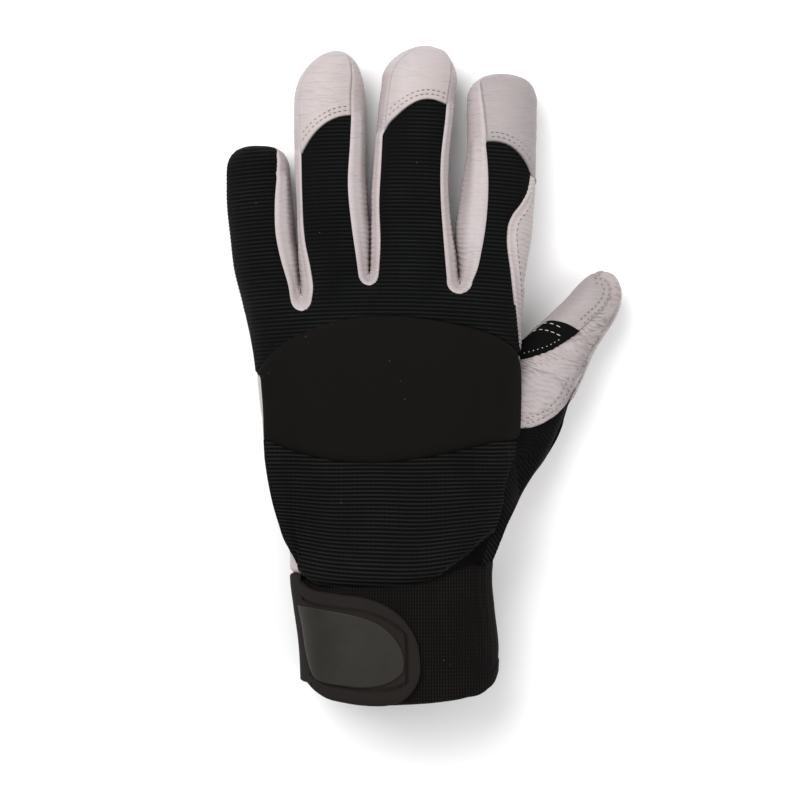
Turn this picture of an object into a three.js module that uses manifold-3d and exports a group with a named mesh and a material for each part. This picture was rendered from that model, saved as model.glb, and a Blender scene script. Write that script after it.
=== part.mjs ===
// A left-hand leather gardening glove, filled out as if worn, lying palm down.
// Millimetres. +X towards the thumb, +Y towards the fingertips, +Z out of the back of the hand.
// Every piece is a panel cut from one hollow hand form, so that neighbours meet along seams.

import * as THREE from "three";
import { mergeVertices } from "three/addons/utils/BufferGeometryUtils.js";
import Module from "manifold-3d";

const wasm = await Module();
wasm.setup();

// Driving dimensions
const WALL = 2.0;
const SEAM_GAP = 0.3;
const PAD_RISE = 1.5;
const STRAP_WALL = 2.0;
const BADGE_WALL = 1.2;
const LAYER_GAP = 0.3;
const BODY_FACETS = 24;
const FINGER_FACETS = 12;
const BODY_SQUARENESS = 2.4;
const FINGER_SQUARENESS = 2.2;
const TIP_STEPS = 4;
const TIP_END_SCALE = 0.3;
const FAR = 130;
const ABOVE_GLOVE = 80;

// The palm, back and wrist: one row for each cross-section from the hem to the finger roots
const BODY_SECTIONS = [
  { y: -6.0, left: -30.0, right: 44.4, bottom: 3.2, top: 45.0 },
  { y: 11.3, left: -29.9, right: 44.3, bottom: 3.2, top: 45.0 },
  { y: 24.0, left: -30.6, right: 44.6, bottom: 3.2, top: 44.5 },
  { y: 38.6, left: -32.6, right: 43.1, bottom: 3.2, top: 43.5 },
  { y: 48.0, left: -33.8, right: 42.2, bottom: 3.2, top: 42.5 },
  { y: 54.0, left: -33.9, right: 42.6, bottom: 2.0, top: 44.5 },
  { y: 59.0, left: -34.6, right: 43.8, bottom: 0.5, top: 44.0 },
  { y: 65.0, left: -36.8, right: 46.0, bottom: -1.0, top: 41.5 },
  { y: 74.9, left: -40.1, right: 49.4, bottom: -2.0, top: 41.0 },
  { y: 86.0, left: -42.6, right: 51.6, bottom: -2.8, top: 41.3 },
  { y: 100.0, left: -44.5, right: 52.9, bottom: -3.0, top: 42.0 },
  { y: 117.2, left: -45.8, right: 53.0, bottom: -3.0, top: 42.8 },
  { y: 131.0, left: -47.2, right: 53.0, bottom: -3.0, top: 42.3 },
  { y: 143.0, left: -49.4, right: 53.0, bottom: -2.6, top: 40.2 },
];
const BODY_END = { y: 165.0, power: 2.3 };

// The fingers: one row for each cross-section from the root, and the rounded tip that closes them
const FINGERS = {
  little: {
    tip: { y: 212.3, power: 2.6 },
    sections: [
      { y: 140.0, left: -49.5, right: -27.5, bottom: 0.0, top: 37.0 },
      { y: 152.0, left: -51.8, right: -29.4, bottom: 0.5, top: 33.5 },
      { y: 164.0, left: -54.9, right: -30.9, bottom: 1.6, top: 30.0 },
      { y: 177.8, left: -56.7, right: -32.1, bottom: 1.6, top: 27.5 },
      { y: 190.0, left: -58.0, right: -33.2, bottom: 0.8, top: 25.0 },
      { y: 200.5, left: -58.2, right: -34.2, bottom: -0.4, top: 22.6 },
    ],
  },
  ring: {
    tip: { y: 248.1, power: 2.05 },
    sections: [
      { y: 142.0, left: -28.6, right: -4.6, bottom: 0.0, top: 39.5 },
      { y: 158.0, left: -29.4, right: -4.4, bottom: 1.0, top: 36.0 },
      { y: 176.2, left: -30.8, right: -3.9, bottom: 2.6, top: 32.4 },
      { y: 190.0, left: -31.0, right: -4.5, bottom: 2.8, top: 29.8 },
      { y: 202.0, left: -31.9, right: -5.3, bottom: 2.2, top: 27.8 },
      { y: 216.0, left: -32.1, right: -5.4, bottom: 0.8, top: 25.2 },
      { y: 229.0, left: -32.1, right: -5.7, bottom: -0.5, top: 22.6 },
    ],
  },
  middle: {
    tip: { y: 250.4, power: 2.1 },
    sections: [
      { y: 142.0, left: -3.8, right: 30.2, bottom: 0.0, top: 40.0 },
      { y: 158.0, left: -3.6, right: 29.7, bottom: 1.0, top: 37.0 },
      { y: 172.0, left: -3.4, right: 28.5, bottom: 2.4, top: 34.2 },
      { y: 184.0, left: -3.2, right: 26.8, bottom: 2.9, top: 31.8 },
      { y: 196.0, left: -3.1, right: 25.9, bottom: 2.6, top: 29.6 },
      { y: 211.0, left: -1.9, right: 26.5, bottom: 1.4, top: 27.2 },
      { y: 225.0, left: -0.7, right: 28.0, bottom: 0.0, top: 24.8 },
      { y: 237.5, left: 0.8, right: 28.7, bottom: -0.6, top: 22.8 },
    ],
  },
  index: {
    tip: { y: 239.6, power: 2.3 },
    sections: [
      { y: 140.0, left: 30.6, right: 52.6, bottom: 0.0, top: 38.0 },
      { y: 156.0, left: 30.2, right: 53.9, bottom: 0.8, top: 34.8 },
      { y: 167.0, left: 29.6, right: 55.8, bottom: 2.0, top: 32.4 },
      { y: 178.0, left: 28.3, right: 57.9, bottom: 2.6, top: 30.2 },
      { y: 192.9, left: 30.3, right: 58.6, bottom: 2.4, top: 28.0 },
      { y: 211.0, left: 32.9, right: 59.0, bottom: 1.0, top: 25.4 },
      { y: 228.4, left: 33.0, right: 59.4, bottom: -0.5, top: 22.6 },
    ],
  },
};

// The thumb: its axis leans by "turn" degrees from the fingers' direction towards +X
const THUMB_SECTIONS = [
  { x: 39.0, y: 76.0, z: 17.5, turn: 20, halfWidth: 11.5, halfHeight: 14.0 },
  { x: 49.0, y: 98.0, z: 15.0, turn: 24, halfWidth: 14.2, halfHeight: 14.0 },
  { x: 57.4, y: 117.0, z: 13.6, turn: 28, halfWidth: 15.2, halfHeight: 12.9 },
  { x: 66.7, y: 132.9, z: 13.2, turn: 34, halfWidth: 12.9, halfHeight: 12.0 },
  { x: 72.6, y: 140.8, z: 12.8, turn: 36, halfWidth: 11.2, halfHeight: 11.3 },
  { x: 80.0, y: 151.0, z: 12.2, turn: 32, halfWidth: 9.8, halfHeight: 10.2 },
];
const THUMB_TIP = { x: 86.0, y: 164.4, z: 11.4, turn: 20, power: 2.2 };

// Seam lines in plan, each a short run of x, y corners
const SEAMS = {
  padTop: [[-62, 122], [-46.7, 131.4], [-39.2, 138.2], [-29.9, 141.9], [-18.6, 144.9], [-5.5, 147.0],
    [7.6, 147.0], [22.5, 144.9], [35.6, 141.6], [45.0, 137.8], [53.15, 132.9]],
  padBottom: [[-62, 107], [-46.6, 102.3], [-35.4, 98.2], [-26.1, 95.6], [-14.9, 93.5], [-3.6, 92.8],
    [7.6, 93.3], [22.5, 95.9], [37.5, 98.5], [53.3, 101.5]],
  gusset: [[53.3, 101.5], [51.8, 96.3], [49.5, 89.5], [47.7, 82.8], [43.9, 70.0], [41.3, 61.4], [39.6, 56.4]],
  cuffTop: [[-62, 56], [-35.0, 52.3], [-29.8, 49.6], [-18.6, 47.8], [-3.6, 47.0], [11.3, 47.4],
    [22.5, 49.3], [33.7, 53.0], [39.6, 56.4], [47, 59.5], [62, 62]],
  cuffHem: [[62, 22], [44.6, 10.5], [42.0, 7.5], [36.0, 4.2], [26.0, 1.8], [12.0, 0.3],
    [-2.0, 0.3], [-13.0, 1.4], [-21.0, 3.6], [-26.0, 7.0], [-30.0, 11.5], [-62, 24]],
  thumbHem: [[53.3, 104.8], [57.4, 105.4], [62.3, 107.8], [65.3, 110.1], [68.3, 112.7], [70.9, 115.4], [82, 127]],
  thumbSeam: [[53.3, 130.5], [58.8, 132.2], [64.2, 134.2], [68.9, 136.9], [73.3, 139.6]],
  thumbTip: [[76.6, 142.9], [80.6, 146.7], [84.2, 150.1], [86.9, 153.9], [88.0, 157.7], [86.9, 161.1],
    [84.2, 162.6], [80.1, 162.6]],
  patchTop: [[55.5, 141.0], [59.8, 142.6], [64.1, 145.5], [69.4, 145.0], [73.3, 142.4]],
  littleRight: [[-39.8, 212.0], [-38.5, 206.0], [-39.4, 190.0], [-39.1, 177.4], [-37.2, 168.4], [-34.5, 159.3],
    [-33.2, 153.3]],
  ringLeft: [[-25.7, 153.3], [-25.1, 157.8], [-25.9, 163.9], [-28.3, 175.9], [-29.3, 190.9], [-29.7, 209.0]],
  ringRight: [[-10.8, 223.4], [-11.2, 213.4], [-12.0, 196.5], [-10.5, 180.4], [-8.6, 167.6], [-8.0, 163.1]],
  middleLeft: [[-0.5, 163.1], [0.1, 174.3], [-0.3, 190.0], [0.4, 204.0], [1.0, 216.6]],
  middleRight: [[25.2, 227.5], [24.8, 222.8], [23.0, 205.9], [23.0, 190.9], [23.9, 177.3], [25.2, 161.6]],
  indexLeft: [[34.6, 160.1], [36.5, 164.6], [38.0, 171.0], [40.3, 186.4], [40.6, 204.0], [39.8, 212.9]],
  indexRight: [[56.4, 203.3], [56.8, 198.4], [55.9, 193.6], [50.2, 185.7], [48.2, 180.0], [47.8, 177.4],
    [49.1, 165.4], [50.8, 151.4], [51.7, 143.9], [53.15, 136.4]],
  ringCap: [[-29.7, 209.0], [-28.6, 210.8], [-25.6, 215.1], [-21.4, 219.3], [-15.8, 222.3], [-10.8, 223.4]],
  middleCap: [[1.0, 216.6], [3.0, 219.6], [6.4, 223.0], [10.6, 226.4], [15.1, 228.7], [20.0, 229.0], [25.2, 227.5]],
  indexCap: [[39.8, 212.9], [44.1, 212.9], [50.1, 210.6], [53.5, 207.6], [56.4, 203.3], [64, 199.0]],
  ringCapLeft: [[-29.9, 221.5], [-29.7, 230.9], [-28.4, 238.5], [-24.5, 249.5]],
  ringCapRight: [[-16.5, 249.5], [-12.6, 243.0], [-10.9, 232.8]],
  middleCapLeft: [[2.6, 229.0], [3.8, 236.6], [6.1, 243.4], [9.0, 252.0]],
  middleCapRight: [[23.0, 252.0], [25.6, 244.2], [26.0, 236.0]],
  indexCapLeft: [[39.3, 221.5], [38.5, 229.0], [39.0, 242.0]],
};
const CROTCHES = {
  littleRing: [-29.3, 149.3],
  ringMiddle: [-4.0, 159.0],
  middleIndex: [29.7, 155.8],
};

// Height of the side seam between the back panels and the palm leather: down each side of the hand,
// where the gusset reaches lower, and then along the fingers
const SEAM_ALONG_FINGERS = [
  { y: 150, z: 19.4 }, { y: 172, z: 18.3 }, { y: 190, z: 16.6 }, { y: 205, z: 15.0 }, { y: 220, z: 13.2 },
  { y: 236, z: 11.6 }, { y: 270, z: 11.6 },
];
const SEAM_LITTLE_SIDE = [{ y: -20, z: 21 }, { y: 138, z: 20.4 }, ...SEAM_ALONG_FINGERS];
const SEAM_THUMB_SIDE = [{ y: -20, z: 13 }, { y: 98, z: 13 }, { y: 112, z: 20 }, ...SEAM_ALONG_FINGERS];
const THUMB_SEAM_HEIGHT = 12.5;
const GUSSET_TURN_HEIGHT = 22;

// The wrist tab: its outline on the back, and its plain run round the side to the underside
const STRAP_OUTLINE = [[-62, 56], [-34.9, 51.2], [-28.6, 46.4], [-16.3, 43.2], [-6.2, 42.0], [2.7, 38.6],
  [8.7, 33.0], [13.2, 26.3], [14.6, 18.8], [13.9, 11.0], [10.9, 5.1], [6.0, 2.4], [-4.0, 1.6], [-13.0, 2.2],
  [-21.0, 4.4], [-28.0, 8.8], [-62, 14]];
const STRAP_UNDERSIDE = { xEnd: 2, yLow: 12, yHigh: 46 };
const STRAP_TURN_HEIGHT = 24;
const BADGE_OUTLINE = [[-30.2, 38.6], [-22.6, 39.0], [-12.4, 37.8], [-6.7, 36.7], [-1.0, 34.1], [4.7, 28.7],
  [8.2, 23.4], [9.3, 18.1], [8.6, 14.4], [6.7, 12.4], [4.0, 10.1], [-2.9, 8.6], [-18.1, 9.7], [-22.6, 10.5],
  [-25.2, 13.5], [-27.0, 18.1], [-29.0, 28.0]];

const LEATHER = { color: 0xd3c9cd, roughness: 0.55, metalness: 0 };
const KNIT = { color: 0x111312, roughness: 0.95, metalness: 0 };
const NEOPRENE = { color: 0x1a1916, roughness: 0.9, metalness: 0 };
const ELASTIC = { color: 0x161210, roughness: 0.95, metalness: 0 };
const RUBBER = { color: 0x383532, roughness: 0.45, metalness: 0 };

const glove = new THREE.Group();
const glovePieces = new THREE.Group();
glove.add(glovePieces);

function solidOf(geometry) {
  geometry.deleteAttribute("normal");
  geometry.deleteAttribute("uv");
  const merged = mergeVertices(geometry, 1e-5);
  return new wasm.Manifold(new wasm.Mesh({
    numProp: 3,
    vertProperties: new Float32Array(merged.attributes.position.array),
    triVerts: new Uint32Array(merged.index.array),
  }));
}

function unite(solids) {
  return solids.reduce((whole, solid) => whole.add(solid));
}

// A closed tube through superelliptic sections, each square to its own axis direction
function tube(sections, facets, squareness) {
  const positions = [];
  const triangles = [];
  const power = 2 / squareness;
  for (const section of sections) {
    const turn = THREE.MathUtils.degToRad(section.turn ?? 0);
    for (let i = 0; i < facets; i++) {
      const angle = (2 * Math.PI * (i + 0.5)) / facets;
      const cosine = Math.cos(angle);
      const sine = Math.sin(angle);
      const across = section.halfWidth * Math.sign(cosine) * Math.abs(cosine) ** power;
      const up = section.halfHeight * Math.sign(sine) * Math.abs(sine) ** power;
      positions.push(section.x + across * Math.cos(turn), section.y - across * Math.sin(turn), section.z + up);
    }
  }
  for (let j = 0; j + 1 < sections.length; j++) {
    for (let i = 0; i < facets; i++) {
      const here = j * facets + i;
      const beside = j * facets + ((i + 1) % facets);
      triangles.push(here, here + facets, beside, beside, here + facets, beside + facets);
    }
  }
  const first = sections[0];
  const last = sections[sections.length - 1];
  const firstCentre = positions.length / 3;
  positions.push(first.x, first.y, first.z, last.x, last.y, last.z);
  for (let i = 0; i < facets; i++) {
    const beside = (i + 1) % facets;
    const top = (sections.length - 1) * facets;
    triangles.push(firstCentre, i, beside);
    triangles.push(firstCentre + 1, top + beside, top + i);
  }
  const geometry = new THREE.BufferGeometry();
  geometry.setAttribute("position", new THREE.Float32BufferAttribute(positions, 3));
  geometry.setIndex(triangles);
  return solidOf(geometry);
}

// Rows with side and height limits become centred sections, grown sideways and upwards by the given amounts
function centred(rows, growSide, growHeight) {
  return rows.map((row) => ({
    x: (row.left + row.right) / 2,
    y: row.y,
    z: (row.bottom + row.top) / 2,
    halfWidth: (row.right - row.left) / 2 + growSide,
    halfHeight: (row.top - row.bottom) / 2 + growHeight,
  }));
}

// The sections that round a tube off between its last section and its tip
function roundedTip(last, tip, grow) {
  const sections = [];
  for (let i = 1; i <= TIP_STEPS; i++) {
    const along = Math.sin((Math.PI / 2) * (i / TIP_STEPS));
    const scale = Math.max((1 - along ** tip.power) ** (1 / tip.power), TIP_END_SCALE * (1 - i / TIP_STEPS / 2));
    sections.push({
      x: last.x + along * ((tip.x ?? last.x) - last.x),
      y: last.y + along * (tip.y + grow - last.y),
      z: last.z + along * ((tip.z ?? last.z) - last.z),
      turn: (last.turn ?? 0) + along * ((tip.turn ?? 0) - (last.turn ?? 0)),
      halfWidth: last.halfWidth * scale,
      halfHeight: last.halfHeight * scale,
    });
  }
  return sections;
}

function bodyTube(growSide, growHeight) {
  const sections = centred(BODY_SECTIONS, growSide, growHeight);
  const last = sections[sections.length - 1];
  return tube([...sections, ...roundedTip(last, BODY_END, growSide)], BODY_FACETS, BODY_SQUARENESS);
}

function fingerTube(finger, grow) {
  const sections = centred(finger.sections, grow, grow);
  const last = sections[sections.length - 1];
  return tube([...sections, ...roundedTip(last, finger.tip, grow)], FINGER_FACETS, FINGER_SQUARENESS);
}

function thumbTube(grow) {
  const sections = THUMB_SECTIONS.map((row) => ({
    ...row,
    halfWidth: row.halfWidth + grow,
    halfHeight: row.halfHeight + grow,
  }));
  const last = sections[sections.length - 1];
  return tube([...sections, ...roundedTip(last, THUMB_TIP, grow)], FINGER_FACETS, FINGER_SQUARENESS);
}

// An upright prism over a plan outline
function prism(outline, low = -FAR, high = FAR) {
  const shape = new THREE.Shape(outline.map(([x, y]) => new THREE.Vector2(x, y)));
  const geometry = new THREE.ExtrudeGeometry(shape, { depth: high - low, bevelEnabled: false });
  geometry.translate(0, 0, low);
  return solidOf(geometry);
}

// Moves each corner of a plan outline outwards by a distance, along the bisector of its two edges
function offset(outline, distance) {
  const turn = Math.sign(THREE.ShapeUtils.area(outline.map(([x, y]) => new THREE.Vector2(x, y))));
  const count = outline.length;
  return outline.map((corner, i) => {
    const here = new THREE.Vector2(...corner);
    const before = new THREE.Vector2(...outline[(i + count - 1) % count]);
    const after = new THREE.Vector2(...outline[(i + 1) % count]);
    const inEdge = here.clone().sub(before).normalize();
    const outEdge = after.clone().sub(here).normalize();
    const normal = new THREE.Vector2(inEdge.y + outEdge.y, -inEdge.x - outEdge.x).normalize();
    const stretch = Math.max(normal.dot(new THREE.Vector2(inEdge.y, -inEdge.x)), 0.4);
    const reach = (turn * distance) / stretch;
    return [corner[0] + normal.x * reach, corner[1] + normal.y * reach];
  });
}

// Everything above a side seam whose height follows the rows, between two x limits
function aboveSeam(rows, xFrom, xTo, lift) {
  const profile = new THREE.Shape([
    ...rows.map((row) => new THREE.Vector2(row.y, row.z + lift)),
    new THREE.Vector2(rows[rows.length - 1].y, ABOVE_GLOVE),
    new THREE.Vector2(rows[0].y, ABOVE_GLOVE),
  ]);
  const geometry = new THREE.ExtrudeGeometry(profile, { depth: xTo - xFrom, bevelEnabled: false });
  geometry.applyMatrix4(new THREE.Matrix4().makeBasis(
    new THREE.Vector3(0, 1, 0),
    new THREE.Vector3(0, 0, 1),
    new THREE.Vector3(1, 0, 0),
  ));
  geometry.translate(xFrom, 0, 0);
  return solidOf(geometry);
}

function aboveSeams(lift) {
  return aboveSeam(SEAM_LITTLE_SIDE, -FAR, 0, lift).add(aboveSeam(SEAM_THUMB_SIDE, 0, FAR, lift));
}

function addPiece(name, solid, finish) {
  const { vertProperties, triVerts } = solid.getMesh();
  const geometry = new THREE.BufferGeometry();
  geometry.setAttribute("position", new THREE.BufferAttribute(new Float32Array(vertProperties), 3));
  geometry.setIndex(new THREE.BufferAttribute(new Uint32Array(triVerts), 1));
  const piece = new THREE.Mesh(geometry, new THREE.MeshStandardMaterial(finish));
  piece.name = name;
  glovePieces.add(piece);
}

// Hollow hand form: the outer form rests flat on z = 0, and the hollow stays one wall above it
const everywhere = [[-FAR, -FAR], [FAR, -FAR], [FAR, 2.5 * FAR], [-FAR, 2.5 * FAR]];
const fingers = Object.values(FINGERS);
const outerFingers = fingers.map((finger) => fingerTube(finger, 0));
const innerFingers = fingers.map((finger) => fingerTube(finger, -WALL));
const outer = unite([bodyTube(0, 0), ...outerFingers, thumbTube(0)]).intersect(prism(everywhere, 0, FAR));
const hollow = unite([bodyTube(-WALL, -WALL), ...innerFingers, thumbTube(-WALL)])
  .intersect(prism(everywhere, WALL, FAR));
const shell = outer.subtract(hollow);

// Plan regions of the panels, put together from the seam lines
const capTop = 262;
const regions = {
  knucklePad: [...SEAMS.padTop, ...[...SEAMS.padBottom].reverse().map(([x, y]) => [Math.min(x, 53.15), y])],
  lowerBack: [...SEAMS.padBottom, ...SEAMS.gusset.slice(1), ...SEAMS.cuffTop.slice(0, 8).reverse()],
  gusset: [...[...SEAMS.gusset].reverse(), ...SEAMS.thumbHem, [82, 62], ...SEAMS.cuffTop.slice(9, 10)],
  gussetSide: [[33.0, 53.2], [41, 80], [48, 100], ...SEAMS.thumbHem, [82, 62], ...SEAMS.cuffTop.slice(8, 10).reverse()],
  cuff: [...SEAMS.cuffTop, ...SEAMS.cuffHem],
  wrist: [...SEAMS.cuffTop, [FAR, 62], [FAR, -FAR], [-FAR, -FAR], [-FAR, 56]],
  littleRing: [...SEAMS.littleRight, CROTCHES.littleRing, ...SEAMS.ringLeft, ...SEAMS.ringCapLeft, [-39, 249.5]],
  ringMiddle: [...SEAMS.ringCapRight, ...SEAMS.ringRight, CROTCHES.ringMiddle, ...SEAMS.middleLeft,
    ...SEAMS.middleCapLeft],
  middleIndex: [...SEAMS.middleCapRight, ...SEAMS.middleRight, CROTCHES.middleIndex, ...SEAMS.indexLeft,
    ...SEAMS.indexCapLeft, [33, 252]],
  indexSide: [[64, 199.0], ...SEAMS.indexRight, [53.15, 133.5], [56, 145], [64, 162]],
  ringCap: [...SEAMS.ringCap, ...[...SEAMS.ringCapRight].reverse(), [-16.5, capTop], [-24.5, capTop],
    ...[...SEAMS.ringCapLeft].reverse()],
  middleCap: [...SEAMS.middleCap, ...[...SEAMS.middleCapRight].reverse(), [23, capTop], [9, capTop],
    ...[...SEAMS.middleCapLeft].reverse()],
  indexCap: [...SEAMS.indexCap, [64, capTop], [39, capTop], ...[...SEAMS.indexCapLeft].reverse()],
  thumb: [...SEAMS.thumbHem, [100, 127], [100, 176], [72, 176], [56.5, 145.0], [53.3, 142.0]],
  thumbPatch: [...SEAMS.thumbSeam, ...[...SEAMS.patchTop].reverse(), [53.3, 139.0]],
  thumbFront: [...SEAMS.patchTop, ...SEAMS.thumbSeam.slice(-1), ...SEAMS.thumbTip, [74, 170], [55.5, 150]],
};
const inset = (outline) => prism(offset(outline, -SEAM_GAP / 2));
const outset = (outline, low) => prism(offset(outline, SEAM_GAP / 2), low);

// Back panels
const upper = shell.intersect(aboveSeams(SEAM_GAP / 2));
const paddedUpper = bodyTube(0, PAD_RISE).subtract(hollow).intersect(aboveSeams(SEAM_GAP / 2));
const regionsOnKnit = ["knucklePad", "littleRing", "ringMiddle", "middleIndex", "indexSide", "ringCap",
  "middleCap", "indexCap", "thumb"];
const backRegion = prism([...SEAMS.padTop.map(([x, y]) => [x, y]), [64, 136], [64, 262], [-64, 262]]);
const backKnit = regionsOnKnit.reduce(
  (panel, name) => panel.subtract(outset(regions[name])),
  upper.intersect(backRegion),
);
addPiece("back_knit", backKnit, KNIT);
addPiece("knuckle_pad", paddedUpper.intersect(inset(regions.knucklePad)), NEOPRENE);
const gussetLow = prism(everywhere, -FAR, GUSSET_TURN_HEIGHT - SEAM_GAP);
const gussetWall = prism(offset(regions.gusset, -SEAM_GAP / 2))
  .add(prism(offset(regions.gussetSide, -SEAM_GAP / 2)).intersect(gussetLow));
const lowerBack = upper.intersect(inset(regions.lowerBack)).intersect(prism(everywhere, GUSSET_TURN_HEIGHT - 1, FAR));
addPiece("lower_back_knit", lowerBack, KNIT);
addPiece("side_gusset", upper.intersect(gussetWall), KNIT);

// Webs, index side and caps
addPiece("fourchette_little_ring", upper.intersect(inset(regions.littleRing)), LEATHER);
addPiece("fourchette_ring_middle", upper.intersect(inset(regions.ringMiddle)), LEATHER);
addPiece("fourchette_middle_index", upper.intersect(inset(regions.middleIndex)), LEATHER);
addPiece("index_side", upper.intersect(inset(regions.indexSide)).subtract(outset(regions.thumb)), LEATHER);
addPiece("ring_cap", upper.intersect(inset(regions.ringCap)), LEATHER);
addPiece("middle_cap", upper.intersect(inset(regions.middleCap)), LEATHER);
addPiece("index_cap", upper.intersect(inset(regions.indexCap)), LEATHER);

// Palm and finger fronts
const palm = shell.subtract(aboveSeams(-SEAM_GAP / 2)).subtract(outset(regions.wrist)).subtract(outset(regions.thumb));
addPiece("palm_leather", palm, LEATHER);

// Thumb
const thumb = shell.intersect(inset(regions.thumb));
const frontLow = THUMB_SEAM_HEIGHT + SEAM_GAP / 2;
const backHigh = THUMB_SEAM_HEIGHT - SEAM_GAP / 2;
const upperThumb = thumb.intersect(prism(everywhere, frontLow, FAR));
const thumbFront = upperThumb.intersect(inset(regions.thumbFront));
const thumbPatch = upperThumb.intersect(inset(regions.thumbPatch));
const thumbBack = thumb
  .subtract(outset(regions.thumbFront, backHigh))
  .subtract(outset(regions.thumbPatch, backHigh));
addPiece("thumb_front", thumbFront, LEATHER);
addPiece("thumb_patch", thumbPatch, KNIT);
addPiece("thumb_back", thumbBack, LEATHER);

// Cuff, wrist tab and badge
addPiece("cuff", shell.intersect(inset(regions.cuff)), ELASTIC);
const strapInner = bodyTube(LAYER_GAP, LAYER_GAP);
const strapOuter = bodyTube(LAYER_GAP + STRAP_WALL, LAYER_GAP + STRAP_WALL);
const strapRun = [[-62, STRAP_UNDERSIDE.yLow], [STRAP_UNDERSIDE.xEnd, STRAP_UNDERSIDE.yLow],
  [STRAP_UNDERSIDE.xEnd, STRAP_UNDERSIDE.yHigh], [-62, STRAP_UNDERSIDE.yHigh]];
const strapPlan = prism(STRAP_OUTLINE, STRAP_TURN_HEIGHT, FAR).add(prism(strapRun, -FAR, STRAP_TURN_HEIGHT));
addPiece("strap", strapOuter.subtract(strapInner).intersect(strapPlan), NEOPRENE);
const badgeLift = LAYER_GAP * 2 + STRAP_WALL;
const badgeBand = bodyTube(badgeLift + BADGE_WALL, badgeLift + BADGE_WALL).subtract(bodyTube(badgeLift, badgeLift));
addPiece("badge", badgeBand.intersect(prism(BADGE_OUTLINE, STRAP_TURN_HEIGHT, FAR)), RUBBER);

// The glove is centred over its own footprint, with the palm on z = 0
const box = new THREE.Box3().setFromObject(glovePieces);
glovePieces.position.set(-(box.min.x + box.max.x) / 2, -(box.min.y + box.max.y) / 2, -box.min.z);

export default glove;
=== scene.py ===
"""A left-hand leather gardening glove, filled out as if worn, lying palm down on a pale floor.

Shapes are worked out in the hand's own frame in millimetres: X from the little finger to the thumb,
Y from the cuff's hem to the fingertips, Z up out of the back of the hand. Each panel is a grid of
points on one smooth hand form, moved into the CAD frame and turned to metres when its mesh is made.
"""

import logging
from dataclasses import dataclass, field
from enum import Enum
from typing import Callable, NamedTuple, Optional, Sequence

import bmesh
import bpy
import numpy as np
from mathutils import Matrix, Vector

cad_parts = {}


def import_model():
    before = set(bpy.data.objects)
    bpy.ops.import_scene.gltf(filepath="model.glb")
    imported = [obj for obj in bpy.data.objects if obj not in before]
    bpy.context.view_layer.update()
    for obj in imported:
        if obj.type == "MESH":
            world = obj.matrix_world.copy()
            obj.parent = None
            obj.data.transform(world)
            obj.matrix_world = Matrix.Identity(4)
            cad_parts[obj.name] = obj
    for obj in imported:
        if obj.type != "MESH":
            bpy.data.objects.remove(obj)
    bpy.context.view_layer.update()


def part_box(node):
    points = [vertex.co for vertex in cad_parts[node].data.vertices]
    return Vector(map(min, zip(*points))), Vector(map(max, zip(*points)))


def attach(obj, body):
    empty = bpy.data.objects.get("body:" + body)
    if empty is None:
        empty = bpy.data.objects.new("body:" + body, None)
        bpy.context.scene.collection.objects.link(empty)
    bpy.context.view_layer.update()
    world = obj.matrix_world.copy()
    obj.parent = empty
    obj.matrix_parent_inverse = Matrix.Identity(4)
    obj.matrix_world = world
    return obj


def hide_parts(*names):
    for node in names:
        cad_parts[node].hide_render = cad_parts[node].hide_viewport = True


Array = np.ndarray
log = logging.getLogger("glove")

MM = 0.001
SEED = 7


class Section(NamedTuple):
    """One cross-section of a tube along Y, by its side and height limits."""

    y: float
    left: float
    right: float
    bottom: float
    top: float


class ThumbSection(NamedTuple):
    """One cross-section of the thumb, square to its axis."""

    x: float
    y: float
    z: float
    half_width: float
    half_height: float


BODY_SECTIONS = (
    Section(-6.0, -30.0, 44.4, 3.2, 45.0),
    Section(11.3, -29.9, 44.3, 3.2, 45.0),
    Section(24.0, -30.6, 44.6, 3.2, 44.5),
    Section(38.6, -32.6, 43.1, 3.2, 43.5),
    Section(48.0, -33.8, 42.2, 3.2, 42.5),
    Section(54.0, -33.9, 42.6, 2.0, 42.5),
    Section(59.0, -34.6, 43.8, 0.5, 42.0),
    Section(65.0, -36.8, 46.0, -1.0, 41.5),
    Section(74.9, -40.1, 49.4, -2.0, 41.0),
    Section(86.0, -42.6, 51.6, -2.8, 41.3),
    Section(100.0, -44.5, 52.9, -3.0, 42.0),
    Section(117.2, -45.8, 53.0, -3.0, 42.8),
    Section(131.0, -47.2, 53.0, -3.0, 42.3),
    Section(143.0, -49.4, 53.0, -2.6, 40.2),
)
BODY_END = 166.0

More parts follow.
